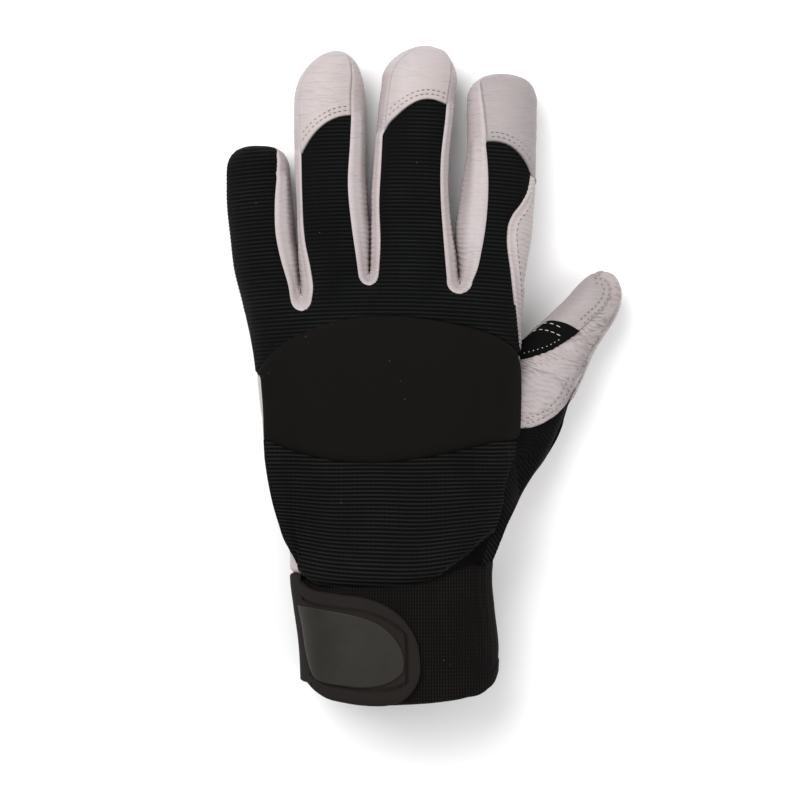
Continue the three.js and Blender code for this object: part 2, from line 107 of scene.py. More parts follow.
FINGER_SECTIONS = {
    "little": (
        Section(140.0, -49.5, -27.5, 0.0, 37.0),
        Section(152.0, -51.8, -29.4, 0.5, 33.5),
        Section(164.0, -54.9, -30.9, 1.6, 30.0),
        Section(177.8, -56.7, -32.1, 1.6, 27.5),
        Section(190.0, -58.0, -33.2, 0.8, 25.0),
        Section(200.5, -58.2, -34.2, -0.4, 22.6),
    ),
    "ring": (
        Section(142.0, -28.6, -4.6, 0.0, 39.5),
        Section(158.0, -29.4, -4.4, 1.0, 36.0),
        Section(176.2, -30.8, -3.9, 2.6, 32.4),
        Section(190.0, -31.0, -4.5, 2.8, 29.8),
        Section(202.0, -31.9, -5.3, 2.2, 27.8),
        Section(216.0, -32.6, -5.4, 0.8, 25.2),
        Section(229.0, -32.6, -5.7, -0.5, 22.6),
    ),
    "middle": (
        Section(142.0, -3.8, 30.2, 0.0, 40.0),
        Section(158.0, -3.6, 29.7, 1.0, 37.0),
        Section(172.0, -3.4, 28.5, 2.4, 34.2),
        Section(184.0, -3.2, 26.8, 2.9, 31.8),
        Section(196.0, -3.1, 25.9, 2.6, 29.6),
        Section(211.0, -1.9, 26.5, 1.4, 27.2),
        Section(225.0, -0.7, 28.0, 0.0, 24.8),
        Section(237.5, 0.8, 29.2, -0.6, 22.8),
    ),
    "index": (
        Section(140.0, 30.6, 52.6, 0.0, 38.0),
        Section(156.0, 30.2, 53.9, 0.8, 34.8),
        Section(167.0, 29.6, 55.8, 2.0, 32.4),
        Section(178.0, 28.3, 57.7, 2.6, 30.2),
        Section(192.9, 30.3, 58.6, 2.4, 28.0),
        Section(211.0, 32.9, 59.0, 1.0, 25.4),
        Section(228.4, 33.0, 59.4, -0.5, 22.6),
    ),
}
# Each tip's y, how blunt it is, and how far its middle leans towards the thumb
FINGER_TIPS = {
    "little": (212.3, 2.7, 0.0),
    "ring": (248.4, 1.95, 2.6),
    "middle": (250.4, 1.85, 2.2),
    "index": (239.6, 2.3, 0.0),
}

THUMB_SECTIONS = (
    ThumbSection(39.0, 76.0, 17.5, 11.5, 14.0),
    ThumbSection(49.0, 98.0, 15.0, 14.2, 14.0),
    ThumbSection(57.4, 117.0, 13.6, 14.6, 12.9),
    ThumbSection(66.7, 132.9, 13.2, 13.1, 12.0),
    ThumbSection(72.6, 140.8, 12.8, 11.0, 11.3),
    ThumbSection(80.6, 150.9, 12.2, 9.6, 10.2),
)
THUMB_TIP = ThumbSection(88.0, 163.8, 11.4, 0.0, 0.0)

# Seam lines in plan, each a short run of x, y corners
SEAMS = {
    "pad_top": ((-46.4, 126.0), (-43.3, 128.6), (-38.6, 133.4), (-32.7, 137.8), (-23.7, 141.8),
                (-13.3, 145.1), (-3.6, 146.6), (6.1, 146.9), (18.7, 145.7), (29.9, 143.7), (40.3, 140.7),
                (47.0, 137.3), (53.0, 132.0)),
    "pad_bottom": ((-45.0, 102.6), (-42.3, 101.5), (-33.4, 97.5), (-23.7, 94.9), (-14.8, 93.4), (-3.6, 92.8),
                   (7.6, 93.6), (18.7, 95.2), (29.9, 97.5), (41.1, 100.1), (53.2, 101.8)),
    "cuff_top": ((-34.0, 53.6), (-29.6, 51.0), (-25.9, 47.9), (-18.5, 46.7), (-7.3, 46.6), (3.8, 46.7),
                 (12.8, 47.7), (20.2, 49.2), (26.2, 51.0), (33.6, 53.3), (40.3, 55.9), (43.0, 57.0)),
    "cuff_hem": ((-30.5, 13.2), (-28.6, 11.2), (-26.3, 9.0), (-21.0, 5.3), (-12.7, 3.4), (-3.6, 2.3),
                 (11.3, 2.5), (22.5, 3.3), (32.3, 4.7), (40.6, 7.2), (43.6, 10.4), (44.5, 13.0)),
    "ring_cap": ((-29.7, 208.6), (-28.6, 210.6), (-25.6, 215.1), (-21.4, 219.3), (-15.8, 222.3),
                 (-10.5, 223.2)),
    "middle_cap": ((1.0, 216.4), (3.0, 219.6), (6.4, 223.0), (10.6, 226.4), (15.1, 228.7), (20.0, 229.0),
                   (25.3, 227.3)),
    "index_cap": ((39.6, 213.0), (44.1, 212.9), (50.1, 210.6), (53.5, 207.4), (56.2, 203.3), (58.6, 197.0)),
}
# Borders of the knit tongues, x for each y, from the finger roots up
BORDERS = {
    "little_right": ((-33.2, 153.3), (-34.5, 159.3), (-37.2, 168.4), (-39.1, 177.4), (-39.6, 190.0),
                     (-38.9, 203.0), (-39.4, 212.0)),
    "ring_left": ((-25.7, 153.3), (-25.1, 157.8), (-25.9, 163.9), (-28.3, 175.9), (-29.3, 190.9),
                  (-29.7, 209.0)),
    "ring_right": ((-8.0, 163.1), (-8.6, 167.6), (-10.5, 180.4), (-12.0, 196.5), (-11.2, 213.4),
                   (-10.8, 223.4)),
    "middle_left": ((-0.5, 163.1), (0.1, 174.3), (-0.3, 190.0), (0.4, 204.0), (1.0, 216.6)),
    "middle_right": ((25.2, 161.6), (23.9, 177.3), (23.0, 190.9), (23.0, 205.9), (24.8, 222.8),
                     (25.2, 227.5)),
    "index_left": ((34.6, 160.1), (36.5, 164.6), (38.0, 171.0), (40.3, 186.4), (40.6, 204.0), (39.8, 212.9)),
    "index_right": ((52.6, 136.4), (51.7, 143.9), (50.8, 151.4), (49.3, 163.4), (47.8, 177.4), (48.4, 181.9),
                    (50.2, 185.7), (53.1, 189.4), (55.6, 193.6), (56.8, 198.4), (57.4, 203.0), (57.8, 207.0)),
}
CROTCHES = ((-29.3, 149.3), (-4.0, 159.0), (29.7, 155.8))
# Side seams of the fingertips: for each y, the share of the finger's half-width, left sides below zero
TIP_SEAMS = {
    "little_right": ((200.5, 0.60), (206.0, 0.68), (209.0, 0.76), (211.2, 0.95), (212.3, 1.0)),
    "ring_left": ((209.0, -0.83), (231.0, -0.835), (243.4, -0.85), (248.1, -0.86)),
    "ring_right": ((223.4, 0.61), (232.8, 0.625), (239.6, 0.70), (244.2, 0.75), (248.1, 0.74)),
    "middle_left": ((216.6, -0.80), (229.0, -0.79), (236.6, -0.78), (243.4, -0.69), (247.2, -0.60),
                    (250.4, -0.56)),
    "middle_right": ((227.5, 0.80), (234.7, 0.82), (239.6, 0.845), (244.2, 0.935), (247.0, 0.99),
                     (250.4, 1.0)),
    "index_left": ((212.9, -0.46), (221.5, -0.517), (229.0, -0.583), (233.6, -0.674), (237.4, -0.875),
                   (238.8, -0.98), (239.6, -1.0)),
}


def smooth_line(at: Array, knots: Sequence[float], values: Sequence[float]) -> Array:
    """Cubic curve through knots, with slopes from their neighbours, held level past both ends.

    Args:
        at: where to read the curve.
        knots: rising positions.
        values: the curve's value at each knot.

    Returns:
        The curve's values, in the shape of at.
    """
    knots = np.asarray(knots, float)
    values = np.asarray(values, float)
    slopes = np.gradient(values, knots)
    inside = np.clip(at, knots[0], knots[-1])
    low = np.clip(np.searchsorted(knots, inside, side="right") - 1, 0, len(knots) - 2)
    width = knots[low + 1] - knots[low]
    t = (inside - knots[low]) / width
    rise = t * t * (3 - 2 * t)
    return (
        values[low] * (1 - rise)
        + values[low + 1] * rise
        + slopes[low] * width * t * (1 - t) ** 2
        + slopes[low + 1] * width * t * t * (t - 1)
    )


def smooth_step(value: Array, low: float, high: float) -> Array:
    """Rises from 0 at low to 1 at high with level ends."""
    t = np.clip((value - low) / (high - low), 0.0, 1.0)
    return t * t * (3 - 2 * t)


def smooth_max(a: Array, b: Array, blend: float) -> Array:
    """The larger of two heights, rounded over a band of the given height where they cross."""
    share = np.clip(0.5 + 0.5 * (a - b) / blend, 0.0, 1.0)
    return b + (a - b) * share + blend * share * (1 - share)


def mix(a: Array, b: Array, share: Array) -> Array:
    """The straight blend from a to b."""
    return a + (b - a) * share


def bell(value: Array, middle: float, width: float) -> Array:
    """A rounded hump of height 1 at the middle, exp(-((value - middle) / width)^2)."""
    return np.exp(-(((value - middle) / width) ** 2))


def quarter_circle(share: Array) -> Array:
    """Rises from 0 to 1, steeply at first and level at the end, as a quarter of a circle does."""
    return np.sqrt(np.maximum(1 - (1 - np.clip(share, 0.0, 1.0)) ** 2, 0.0))


def value_at(curve: Callable[[Array], Array], y: float) -> float:
    """A curve's value at one y."""
    return float(curve(np.array([y]))[0])


def hash_noise(seed: int, count: int) -> Array:
    """A fixed run of numbers from -1 to 1."""
    return np.random.default_rng(SEED + seed).uniform(-1.0, 1.0, count)


def soft_noise(x: Array, y: Array, scale: float, seed: int) -> Array:
    """Sum of eight plane waves of random direction, about one wave for each scale, from -1 to 1."""
    rng = np.random.default_rng(SEED + seed)
    total = 0.0
    turns = rng.uniform(0, np.pi, 8)
    phases = rng.uniform(0, 2 * np.pi, 8)
    sizes = rng.uniform(0.7, 1.5, 8)
    for turn, phase, size in zip(turns, phases, sizes):
        total = total + np.sin((x * np.cos(turn) + y * np.sin(turn)) * 2 * np.pi / (scale * size) + phase)
    return total / 4.0


def line_y(name: str, x: Array) -> Array:
    """A seam line's y for each x."""
    return line_through(SEAMS[name], x)


def line_through(points: Sequence[Sequence[float]], x: Array) -> Array:
    """The y for each x of a smooth line through points of rising x."""
    corners = np.array(points)
    return smooth_line(x, corners[:, 0], corners[:, 1])


def border_x(name: str, y: Array) -> Array:
    """A tongue border's x for each y."""
    points = np.array(BORDERS[name])
    return smooth_line(y, points[:, 1], points[:, 0])


def power_cos(angle: Array, squareness: float) -> Array:
    """The x of a superellipse of unit half-width at an angle."""
    c = np.cos(angle)
    return np.sign(c) * np.abs(c) ** (2 / squareness)


def power_sin(angle: Array, squareness: float) -> Array:
    """The z of a superellipse of unit half-height at an angle."""
    s = np.sin(angle)
    return np.sign(s) * np.abs(s) ** (2 / squareness)


@dataclass(frozen=True)
class Tube:
    """A tube along Y with superelliptic sections and, past its last section, a rounded tip.

    Attributes:
        sections: the sections, in rising y.
        tip: the y where it closes.
        power: how blunt the closing end is.
        lean: how far the tip's middle moves to the right.
        squareness: the section's superellipse exponent.
    """

    sections: tuple[Section, ...]
    tip: float
    power: float
    lean: float
    squareness: float

    def column(self, name: str, y: Array) -> Array:
        """One named column of the sections, read at y."""
        return smooth_line(y, [s.y for s in self.sections], [getattr(s, name) for s in self.sections])

    def tip_share(self, y: Array) -> Array:
        """0 up to the last section, rising to 1 at the tip."""
        start = self.sections[-1].y
        return np.clip((y - start) / (self.tip - start), 0.0, 1.0)

    def scale(self, y: Array) -> Array:
        """1 along the tube, falling to 0 at its tip as (1 - t^power)^(1/power)."""
        return (1 - self.tip_share(y) ** self.power) ** (1 / self.power)

    def section(self, y: Array) -> tuple[Array, Array, Array, Array]:
        """Centre x, half-width, centre z and half-height at y."""
        left = self.column("left", y)
        right = self.column("right", y)
        bottom = self.column("bottom", y)
        top = self.column("top", y)
        scale = self.scale(y)
        middle = (left + right) / 2 + self.lean * self.tip_share(y) ** 2
        return middle, (right - left) / 2 * scale, (bottom + top) / 2, (top - bottom) / 2 * scale

    def rise(self, x: Array, y: Array) -> tuple[Array, Array]:
        """Centre height and the surface's height over it, falling steeply outside the tube's plan."""
        cx, hw, cz, hh = self.section(y)
        ratio = np.abs(x - cx) / np.maximum(hw, 0.01)
        arch = (1 - np.minimum(ratio, 1.0) ** self.squareness) ** (1 / self.squareness)
        outside = np.maximum(ratio - 1, 0) * hw + np.maximum(y - self.tip, 0)
        return cz, hh * arch - 3.0 * outside

    def top(self, x: Array, y: Array) -> Array:
        """The upper surface's height."""
        cz, rise = self.rise(x, y)
        return cz + rise

    def bottom(self, x: Array, y: Array) -> Array:
        """The lower surface's height."""
        cz, rise = self.rise(x, y)
        return cz - rise

    def angle(self, x: Array, y: Array) -> Array:
        """The angle on the upper half whose point lies at x: 0 at the right side and pi at the left."""
        cx, hw, _, _ = self.section(y)
        ratio = np.clip((x - cx) / np.maximum(hw, 0.01), -1.0, 1.0)
        return np.arccos(np.sign(ratio) * np.abs(ratio) ** (self.squareness / 2))

    def point(self, y: Array, angle: Array, lift: Array = 0.0) -> Array:
        """The surface point at y and angle, moved out by lift."""
        cx, hw, cz, hh = self.section(y)
        across = power_cos(angle, self.squareness)
        up = power_sin(angle, self.squareness)
        return np.stack([cx + (hw + lift) * across, y + 0 * angle, cz + (hh + lift) * up], axis=-1)


class ThumbTube:
    """The thumb: superelliptic sections square to a bent axis, closed by a rounded tip.

    The place along it is counted in millimetres of the axis from the first section.
    """

    SQUARENESS = 2.2
    POWER = 1.9
    SAMPLES = 240

    def __init__(self) -> None:
        """Measures the axis."""
        rows = (*THUMB_SECTIONS, THUMB_TIP)
        steps = np.hypot(np.diff([r.x for r in rows]), np.diff([r.y for r in rows]))
        self.knots = np.concatenate([[0.0], np.cumsum(steps)])
        self.length = float(self.knots[-1])
        self.body_end = float(self.knots[-2])
        self.rows = rows
        self.along = np.linspace(0.0, self.length, self.SAMPLES)
        self.axis_x = self.column("x", self.along)
        self.axis_y = self.column("y", self.along)

    def column(self, name: str, along: Array) -> Array:
        """One named column of the sections, the last size held to the tip."""
        values = [getattr(r, name) for r in self.rows]
        if name.startswith("half"):
            values[-1] = values[-2]
        return smooth_line(along, self.knots, values)

    def scale(self, along: Array) -> Array:
        """1 along the thumb, falling to 0 at the tip."""
        t = np.clip((along - self.body_end) / (self.length - self.body_end), 0.0, 1.0)
        return (1 - t**self.POWER) ** (1 / self.POWER)

    def direction(self, along: Array) -> tuple[Array, Array]:
        """The axis direction in plan."""
        near = np.clip(along, 0.5, self.length - 0.5)
        dx = self.column("x", near + 0.5) - self.column("x", near - 0.5)
        dy = self.column("y", near + 0.5) - self.column("y", near - 0.5)
        size = np.hypot(dx, dy)
        return dx / size, dy / size

    def point(self, along: Array, angle: Array, lift: Array = 0.0) -> Array:
        """The surface point at a place along the axis and an angle: 0 on the side away from the fingers."""
        dx, dy = self.direction(along)
        scale = self.scale(along)
        across = (self.column("half_width", along) * scale + lift) * power_cos(angle, self.SQUARENESS)
        up = (self.column("half_height", along) * scale + lift) * power_sin(angle, self.SQUARENESS)
        ahead = lift * (1 - scale) * np.ones_like(across)
        return np.stack([
            self.column("x", along) + across * dy + ahead * dx,
            self.column("y", along) - across * dx + ahead * dy,
            self.column("z", along) + up,
        ], axis=-1)

    def locate(self, x: Array, y: Array) -> tuple[Array, Array]:
        """Place along the axis and distance to its right, for points in plan.

        Args:
            x: plan x.
            y: plan y.

        Returns:
            The nearest axis place, and the signed distance across.
        """
        flat_x = np.ravel(x)
        flat_y = np.ravel(y)
        gap = (flat_x[:, None] - self.axis_x) ** 2 + (flat_y[:, None] - self.axis_y) ** 2
        along = self.along[np.argmin(gap, axis=1)]
        for _ in range(3):
            dx, dy = self.direction(along)
            rest = (flat_x - self.column("x", along)) * dx + (flat_y - self.column("y", along)) * dy
            along = np.clip(along + rest, 0.0, self.length)
        dx, dy = self.direction(along)
        across = (flat_x - self.column("x", along)) * dy - (flat_y - self.column("y", along)) * dx
        return along.reshape(np.shape(x)), across.reshape(np.shape(x))

    def angle(self, along: Array, across: Array) -> Array:
        """The angle on the upper half at a distance across."""
        half = self.column("half_width", along) * self.scale(along)
        ratio = np.clip(across / np.maximum(half, 0.01), -1.0, 1.0)
        return np.arccos(np.sign(ratio) * np.abs(ratio) ** (self.SQUARENESS / 2))

    def rise(self, x: Array, y: Array) -> tuple[Array, Array]:
        """Centre height and the surface's height over it, falling steeply outside the thumb's plan."""
        along, across = self.locate(x, y)
        scale = self.scale(along)
        half = np.maximum(self.column("half_width", along) * scale, 0.01)
        ratio = np.abs(across) / half
        arch = (1 - np.minimum(ratio, 1.0) ** self.SQUARENESS) ** (1 / self.SQUARENESS)
        start = np.maximum(4.0 - along, 0.0) * 2.0
        outside = np.maximum(ratio - 1, 0) * half + start
        return self.column("z", along), self.column("half_height", along) * scale * arch - 3.0 * outside

    def top(self, x: Array, y: Array) -> Array:
        """The upper surface's height."""
        cz, rise = self.rise(x, y)
        return cz + rise

    def bottom(self, x: Array, y: Array) -> Array:
        """The lower surface's height."""
        cz, rise = self.rise(x, y)
        return cz - rise


class HandForm:
    """The whole hand: the body, four fingers and the thumb, blended where they meet."""

    FINGER_SQUARENESS = 2.2
    BODY_SQUARENESS = 2.4
    BLEND = 3.0
    THUMB_BLEND = 5.0
    FLOOR = 0.05

    def __init__(self) -> None:
        """Makes the tubes."""
        self.body = Tube(BODY_SECTIONS, BODY_END, 2.3, 0.0, self.BODY_SQUARENESS)
        self.fingers = {
            name: Tube(FINGER_SECTIONS[name], *tip, self.FINGER_SQUARENESS)
            for name, tip in FINGER_TIPS.items()
        }
        self.thumb = ThumbTube()

    def top(self, x: Array, y: Array, with_thumb: bool = False) -> Array:
        """Height of the upper surface: the rounded maximum over the tubes."""
        height = self.body.top(x, y)
        for finger in self.fingers.values():
            height = smooth_max(height, finger.top(x, y), self.BLEND)
        if with_thumb:
            height = smooth_max(height, self.thumb.top(x, y), self.THUMB_BLEND)
        return height

    def bottom(self, x: Array, y: Array) -> Array:
        """Height of the lower surface: the rounded minimum over the tubes, flattened on the floor."""
        height = -self.body.bottom(x, y)
        for finger in self.fingers.values():
            height = smooth_max(height, -finger.bottom(x, y), self.BLEND)
        height = smooth_max(height, -self.thumb.bottom(x, y), self.THUMB_BLEND)
        return smooth_max(-height, self.FLOOR, 1.2)

    def left_edge(self, y: Array) -> Array:
        """The little-finger side of the silhouette."""
        rows = [s for s in BODY_SECTIONS if s.y < 140] + [s for s in FINGER_SECTIONS["little"] if s.y > 150]
        return smooth_line(y, [s.y for s in rows], [s.left for s in rows])


def grid_normals(points: Array, closed: bool) -> Array:
    """Unit normals of a grid: the direction along its rows crossed with the direction along its columns.

    Args:
        points: the grid.
        closed: whether its last column meets its first.

    Returns:
        One unit vector a point.
    """
    if closed:
        points = np.concatenate([points[:, -1:], points, points[:, :1]], axis=1)
    normals = np.cross(np.gradient(points, axis=1), np.gradient(points, axis=0))
    size = np.linalg.norm(normals, axis=-1, keepdims=True)
    normals = normals / np.maximum(size, 1e-9)
    return normals[:, 1:-1] if closed else normals


@dataclass
class Patch:
    """A grid of points of one surface.

    Attributes:
        points: rows by columns by x, y, z.
        flip: whether the grid's own normals look inwards and its faces are turned round.
        closed: whether its last column meets its first.
        rib: 0 in a groove of the cloth to 1 on a ridge, or None; the knit's shader paints shade into the
            grooves and a highlight on the ridges from it.
    """

    points: Array
    flip: bool = False
    closed: bool = False
    rib: Optional[Array] = None

    def displaced(self, amount: Array) -> "Patch":
        """The patch moved along its outward normals."""
        out = grid_normals(self.points, self.closed) * (-1.0 if self.flip else 1.0)
        return Patch(self.points + out * np.asarray(amount)[..., None], self.flip, self.closed, self.rib)


class Workshop:
    """Turns patches into finished pieces in the CAD frame."""

    def __init__(self, shift: Array) -> None:
        """Keeps the hand frame's place in the CAD frame, in millimetres."""
        self.shift = shift

    def to_frame(self, points: Array) -> Array:
        """Hand millimetres to frame metres."""
        return (points - self.shift) * MM

    def build(
        self,
        name: str,
        patches: Sequence[Patch],
        material: bpy.types.Material,
        slot: str,
        nodes: Sequence[str] = (),
        thickness: float = 0.0,
        merge: float = 0.0,
    ) -> bpy.types.Object:
        """Makes one piece from patches.

        Args:
            name: the piece's name.
            patches: its grids.
            material: its finish.
            slot: the record's material slot; not used.
            nodes: the CAD nodes that it stands for.
            thickness: wall thickness in millimetres, laid inwards, or 0 for a closed shape.
            merge: distance in millimetres within which points are joined.

        Returns:
            The new object.
        """
        vertices = []
        faces = []
        ribs = []
        start = 0
        for patch in patches:
            rows, columns = patch.points.shape[:2]
            vertices.append(self.to_frame(patch.points).reshape(-1, 3))
            index = np.arange(rows * columns).reshape(rows, columns) + start
            if patch.closed:
                index = np.concatenate([index, index[:, :1]], axis=1)
            quads = np.stack([index[:-1, :-1], index[:-1, 1:], index[1:, 1:], index[1:, :-1]], axis=-1)
            quads = quads.reshape(-1, 4)
            faces.append(quads[:, ::-1] if patch.flip else quads)
            ribs.append(np.zeros(rows * columns) if patch.rib is None else np.ravel(patch.rib))
            start += rows * columns
        mesh = bpy.data.meshes.new(name)
        mesh.from_pydata(np.concatenate(vertices).tolist(), [], np.concatenate(faces).tolist())
        # The rib attribute, from which the knit's shader paints groove shade and ridge highlight
        rib = mesh.attributes.new("rib", "FLOAT", "POINT")
        rib.data.foreach_set("value", np.concatenate(ribs).astype(np.float32))
        model = bmesh.new()
        model.from_mesh(mesh)
        bmesh.ops.remove_doubles(model, verts=model.verts, dist=max(merge, 0.002) * MM)
        bmesh.ops.dissolve_degenerate(model, edges=model.edges, dist=0.0005 * MM)
        model.to_mesh(mesh)
        model.free()
        mesh.polygons.foreach_set("use_smooth", np.ones(len(mesh.polygons), bool))
        mesh.materials.append(material)
        piece = bpy.data.objects.new(name, mesh)
        bpy.context.scene.collection.objects.link(piece)
        if thickness:
            wall = piece.modifiers.new("wall", "SOLIDIFY")
            wall.thickness = thickness * MM
            wall.offset = -1.0
            wall.use_even_offset = False
        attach(piece, "root")
        if nodes:
            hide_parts(*nodes)
        log.info("%s: %d faces", name, len(mesh.polygons))
        return piece


class Signal:
    """A value socket; Python operators on it add Math nodes."""

    def __init__(self, shader: "Shader", socket: bpy.types.NodeSocket) -> None:
        """Wraps a socket of a shader's tree."""
        self.shader = shader
        self.socket = socket

    def math(self, operation: str, other: object = None, swapped: bool = False) -> "Signal":
        """A Math node of this value and another."""
        inputs = [self] if other is None else [other, self] if swapped else [self, other]
        return self.shader.node("ShaderNodeMath", {"operation": operation}, dict(enumerate(inputs)))

    def __add__(self, other: object) -> "Signal":
        """Sum."""
        return self.math("ADD", other)

    __radd__ = __add__

    def __mul__(self, other: object) -> "Signal":
        """Product."""
        return self.math("MULTIPLY", other)

    __rmul__ = __mul__

    def __sub__(self, other: object) -> "Signal":
        """Difference."""
        return self.math("SUBTRACT", other)

    def __rsub__(self, other: object) -> "Signal":
        """Difference from a number."""
        return self.math("SUBTRACT", other, True)

    def __pow__(self, other: object) -> "Signal":
        """Power."""
        return self.math("POWER", other)

    def __abs__(self) -> "Signal":
        """Absolute value."""
        return self.math("ABSOLUTE")

    def sine(self) -> "Signal":
        """Sine."""
        return self.math("SINE")

    def between(self, low: float, high: float) -> "Signal":
        """0 at low and under, 1 at high and over."""
        settings = {"interpolation_type": "SMOOTHSTEP"}
        return self.shader.node("ShaderNodeMapRange", settings, {0: self, 1: low, 2: high})


class Shader:
    """A material's node tree."""

    def __init__(self, name: str) -> None:
        """Starts a material with a Principled shader and Object coordinates in millimetres."""
        self.material = bpy.data.materials.new(name)
        self.material.use_nodes = True
        self.tree = self.material.node_tree
        self.shader = self.tree.nodes["Principled BSDF"]
        self.coordinates = self.node("ShaderNodeTexCoord", {}, {}, "Object")

    def node(self, kind: str, settings: dict, inputs: dict, output: object = 0) -> Signal:
        """Adds a node.

        Args:
            kind: the node's type.
            settings: its properties.
            inputs: values or links by socket name or number.
            output: the socket to return, by name or number.

        Returns:
            The chosen output.
        """
        made = self.tree.nodes.new(kind)
        for key, value in settings.items():
            setattr(made, key, value)
        for key, value in inputs.items():
            if isinstance(value, Signal):
                self.tree.links.new(value.socket, made.inputs[key])
            else:
                made.inputs[key].default_value = value
        return Signal(self, made.outputs[output])

    def scaled(self, x: float, y: float, z: float, turn: float = 0.0) -> Signal:
        """Object coordinates turned about Z and scaled by counts for each millimetre."""
        inputs = {"Vector": self.coordinates, "Scale": (x / MM, y / MM, z / MM), "Rotation": (0.0, 0.0, turn)}
        return self.node("ShaderNodeMapping", {"vector_type": "POINT"}, inputs)

    def noise(self, vector: Signal, detail: float = 3.0, rough: float = 0.5) -> Signal:
        """Noise at one cell for each unit of the vector."""
        inputs = {"Vector": vector, "Scale": 1.0, "Detail": detail, "Roughness": rough}
        return self.node("ShaderNodeTexNoise", {}, inputs, "Fac")

    def cells(self, vector: Signal, feature: str = "F1") -> Signal:
        """Distance to the nearest of scattered points, about one for each unit of the vector."""
        inputs = {"Vector": vector, "Scale": 1.0}
        return self.node("ShaderNodeTexVoronoi", {"feature": feature}, inputs, "Distance")

    def part(self, vector: Signal, axis: str) -> Signal:
        """One axis of a vector."""
        return self.node("ShaderNodeSeparateXYZ", {}, {0: vector}, axis)

    def blend(self, share: object, first: object, second: object) -> Signal:
        """A colour from first to second, through the Mix node's colour sockets."""
        ends = [end if isinstance(end, Signal) else (*end, 1.0) for end in (first, second)]
        return self.node("ShaderNodeMix", {"data_type": "RGBA"}, {0: share, 6: ends[0], 7: ends[1]}, 2)

    def bump(self, height: Signal, distance: float, under: Optional[Signal] = None) -> Signal:
        """A Bump node over another, with the height's full range in millimetres."""
        inputs = {"Height": height, "Distance": distance * MM, "Strength": 1.0}
        if under is not None:
            inputs["Normal"] = under
        return self.node("ShaderNodeBump", {}, inputs)

    def finish(self, colour: object, roughness: object, normal: Optional[Signal], **fixed: float) -> None:
        """Feeds the shader.

        Args:
            colour: base colour, three numbers or a link.
            roughness: a number or a link.
            normal: a link, or None.
            fixed: constant sockets by name, with _ for spaces.
        """
        for name, value in (("Base Color", colour), ("Roughness", roughness), ("Normal", normal)):
            if isinstance(value, Signal):
                self.tree.links.new(value.socket, self.shader.inputs[name])
            elif value is not None:
                self.shader.inputs[name].default_value = (*value, 1.0) if name == "Base Color" else value
        for key, value in fixed.items():
            self.shader.inputs[key.replace("_", " ")].default_value = value


@dataclass(frozen=True)
class LeatherFinish:
    """White grained leather with fine creases across each finger."""

    name: str = "white leather"
    colour: tuple[float, float, float] = (0.425, 0.373, 0.380)
    # painted shade: the colour the creases are darkened towards, which the grain also tints a little
    crease_shadow_and_grain: tuple[float, float, float] = (0.205, 0.168, 0.168)
    warm: tuple[float, float, float] = (0.412, 0.357, 0.339)
    tone: float = 0.93
    crease_turn: float = 0.0
    crease_depth: float = 0.16

    def wrinkles(self, shader: "Shader", pitch: float, patchiness: float) -> Signal:
        """Broken wavy lines across the finger: a wandering sine cubed, where a slow noise lets it show."""
        count = 2 * np.pi / pitch
        place = shader.part(shader.scaled(count, count, count, self.crease_turn), "Y")
        wander = shader.noise(shader.scaled(0.17 / pitch, 0.50 / pitch, 0.3 / pitch), 2.0) * 15.0
        line = ((place + wander).sine() * 0.5 + 0.5) ** 3.0
        gate = shader.noise(shader.scaled(patchiness, patchiness * 3.0, patchiness), 1.0).between(0.42, 0.62)
        return line * gate

    def toned(self, colour: Sequence[float]) -> tuple[float, ...]:
        """A colour made lighter or darker by the tone: the hide's own brightness, lowered further on the
        copies that carry painted shade.
        """
        return tuple(channel * self.tone for channel in colour)

    def make(self) -> bpy.types.Material:
        """The material: pebble grain, wavy creases with painted shade in their hollows, and slow tone
        changes.
        """
        shader = Shader(self.name)
        grain = shader.cells(shader.scaled(1.7, 1.7, 1.7), "SMOOTH_F1")
        pores = shader.noise(shader.scaled(5.0, 5.0, 5.0), 2.0)
        crease = self.wrinkles(shader, 1.75, 0.11) * 0.6 + self.wrinkles(shader, 1.05, 0.23) * 0.5
        where = shader.noise(shader.scaled(0.05, 0.05, 0.05), 1.0).between(0.30, 0.60) * 0.6 + 0.4
        tone = shader.noise(shader.scaled(0.045, 0.06, 0.05), 2.0).between(0.35, 0.7)
        colour = shader.blend(tone * 0.6, self.toned(self.colour), self.toned(self.warm))
        # Painted shade in the creases, mixed with a little of the grain's own darker colour
        colour = shader.blend(crease * where * 0.24 + grain * 0.10, colour, self.toned(self.crease_shadow_and_grain))
        normal = shader.bump(grain * 0.5 + pores * 0.5, 0.05)
        normal = shader.bump(1 - crease * where, self.crease_depth, normal)
        rough = shader.noise(shader.scaled(0.5, 0.5, 0.5)) * 0.16 + 0.46
        shader.finish(colour, rough, normal, Specular_IOR_Level=0.42)
        return shader.material


class Weave(Enum):
    """The black cloths, by how their surface is made."""

    RIB = "rib"
    JERSEY = "jersey"
    LOOP = "loop"
    BINDING = "binding"


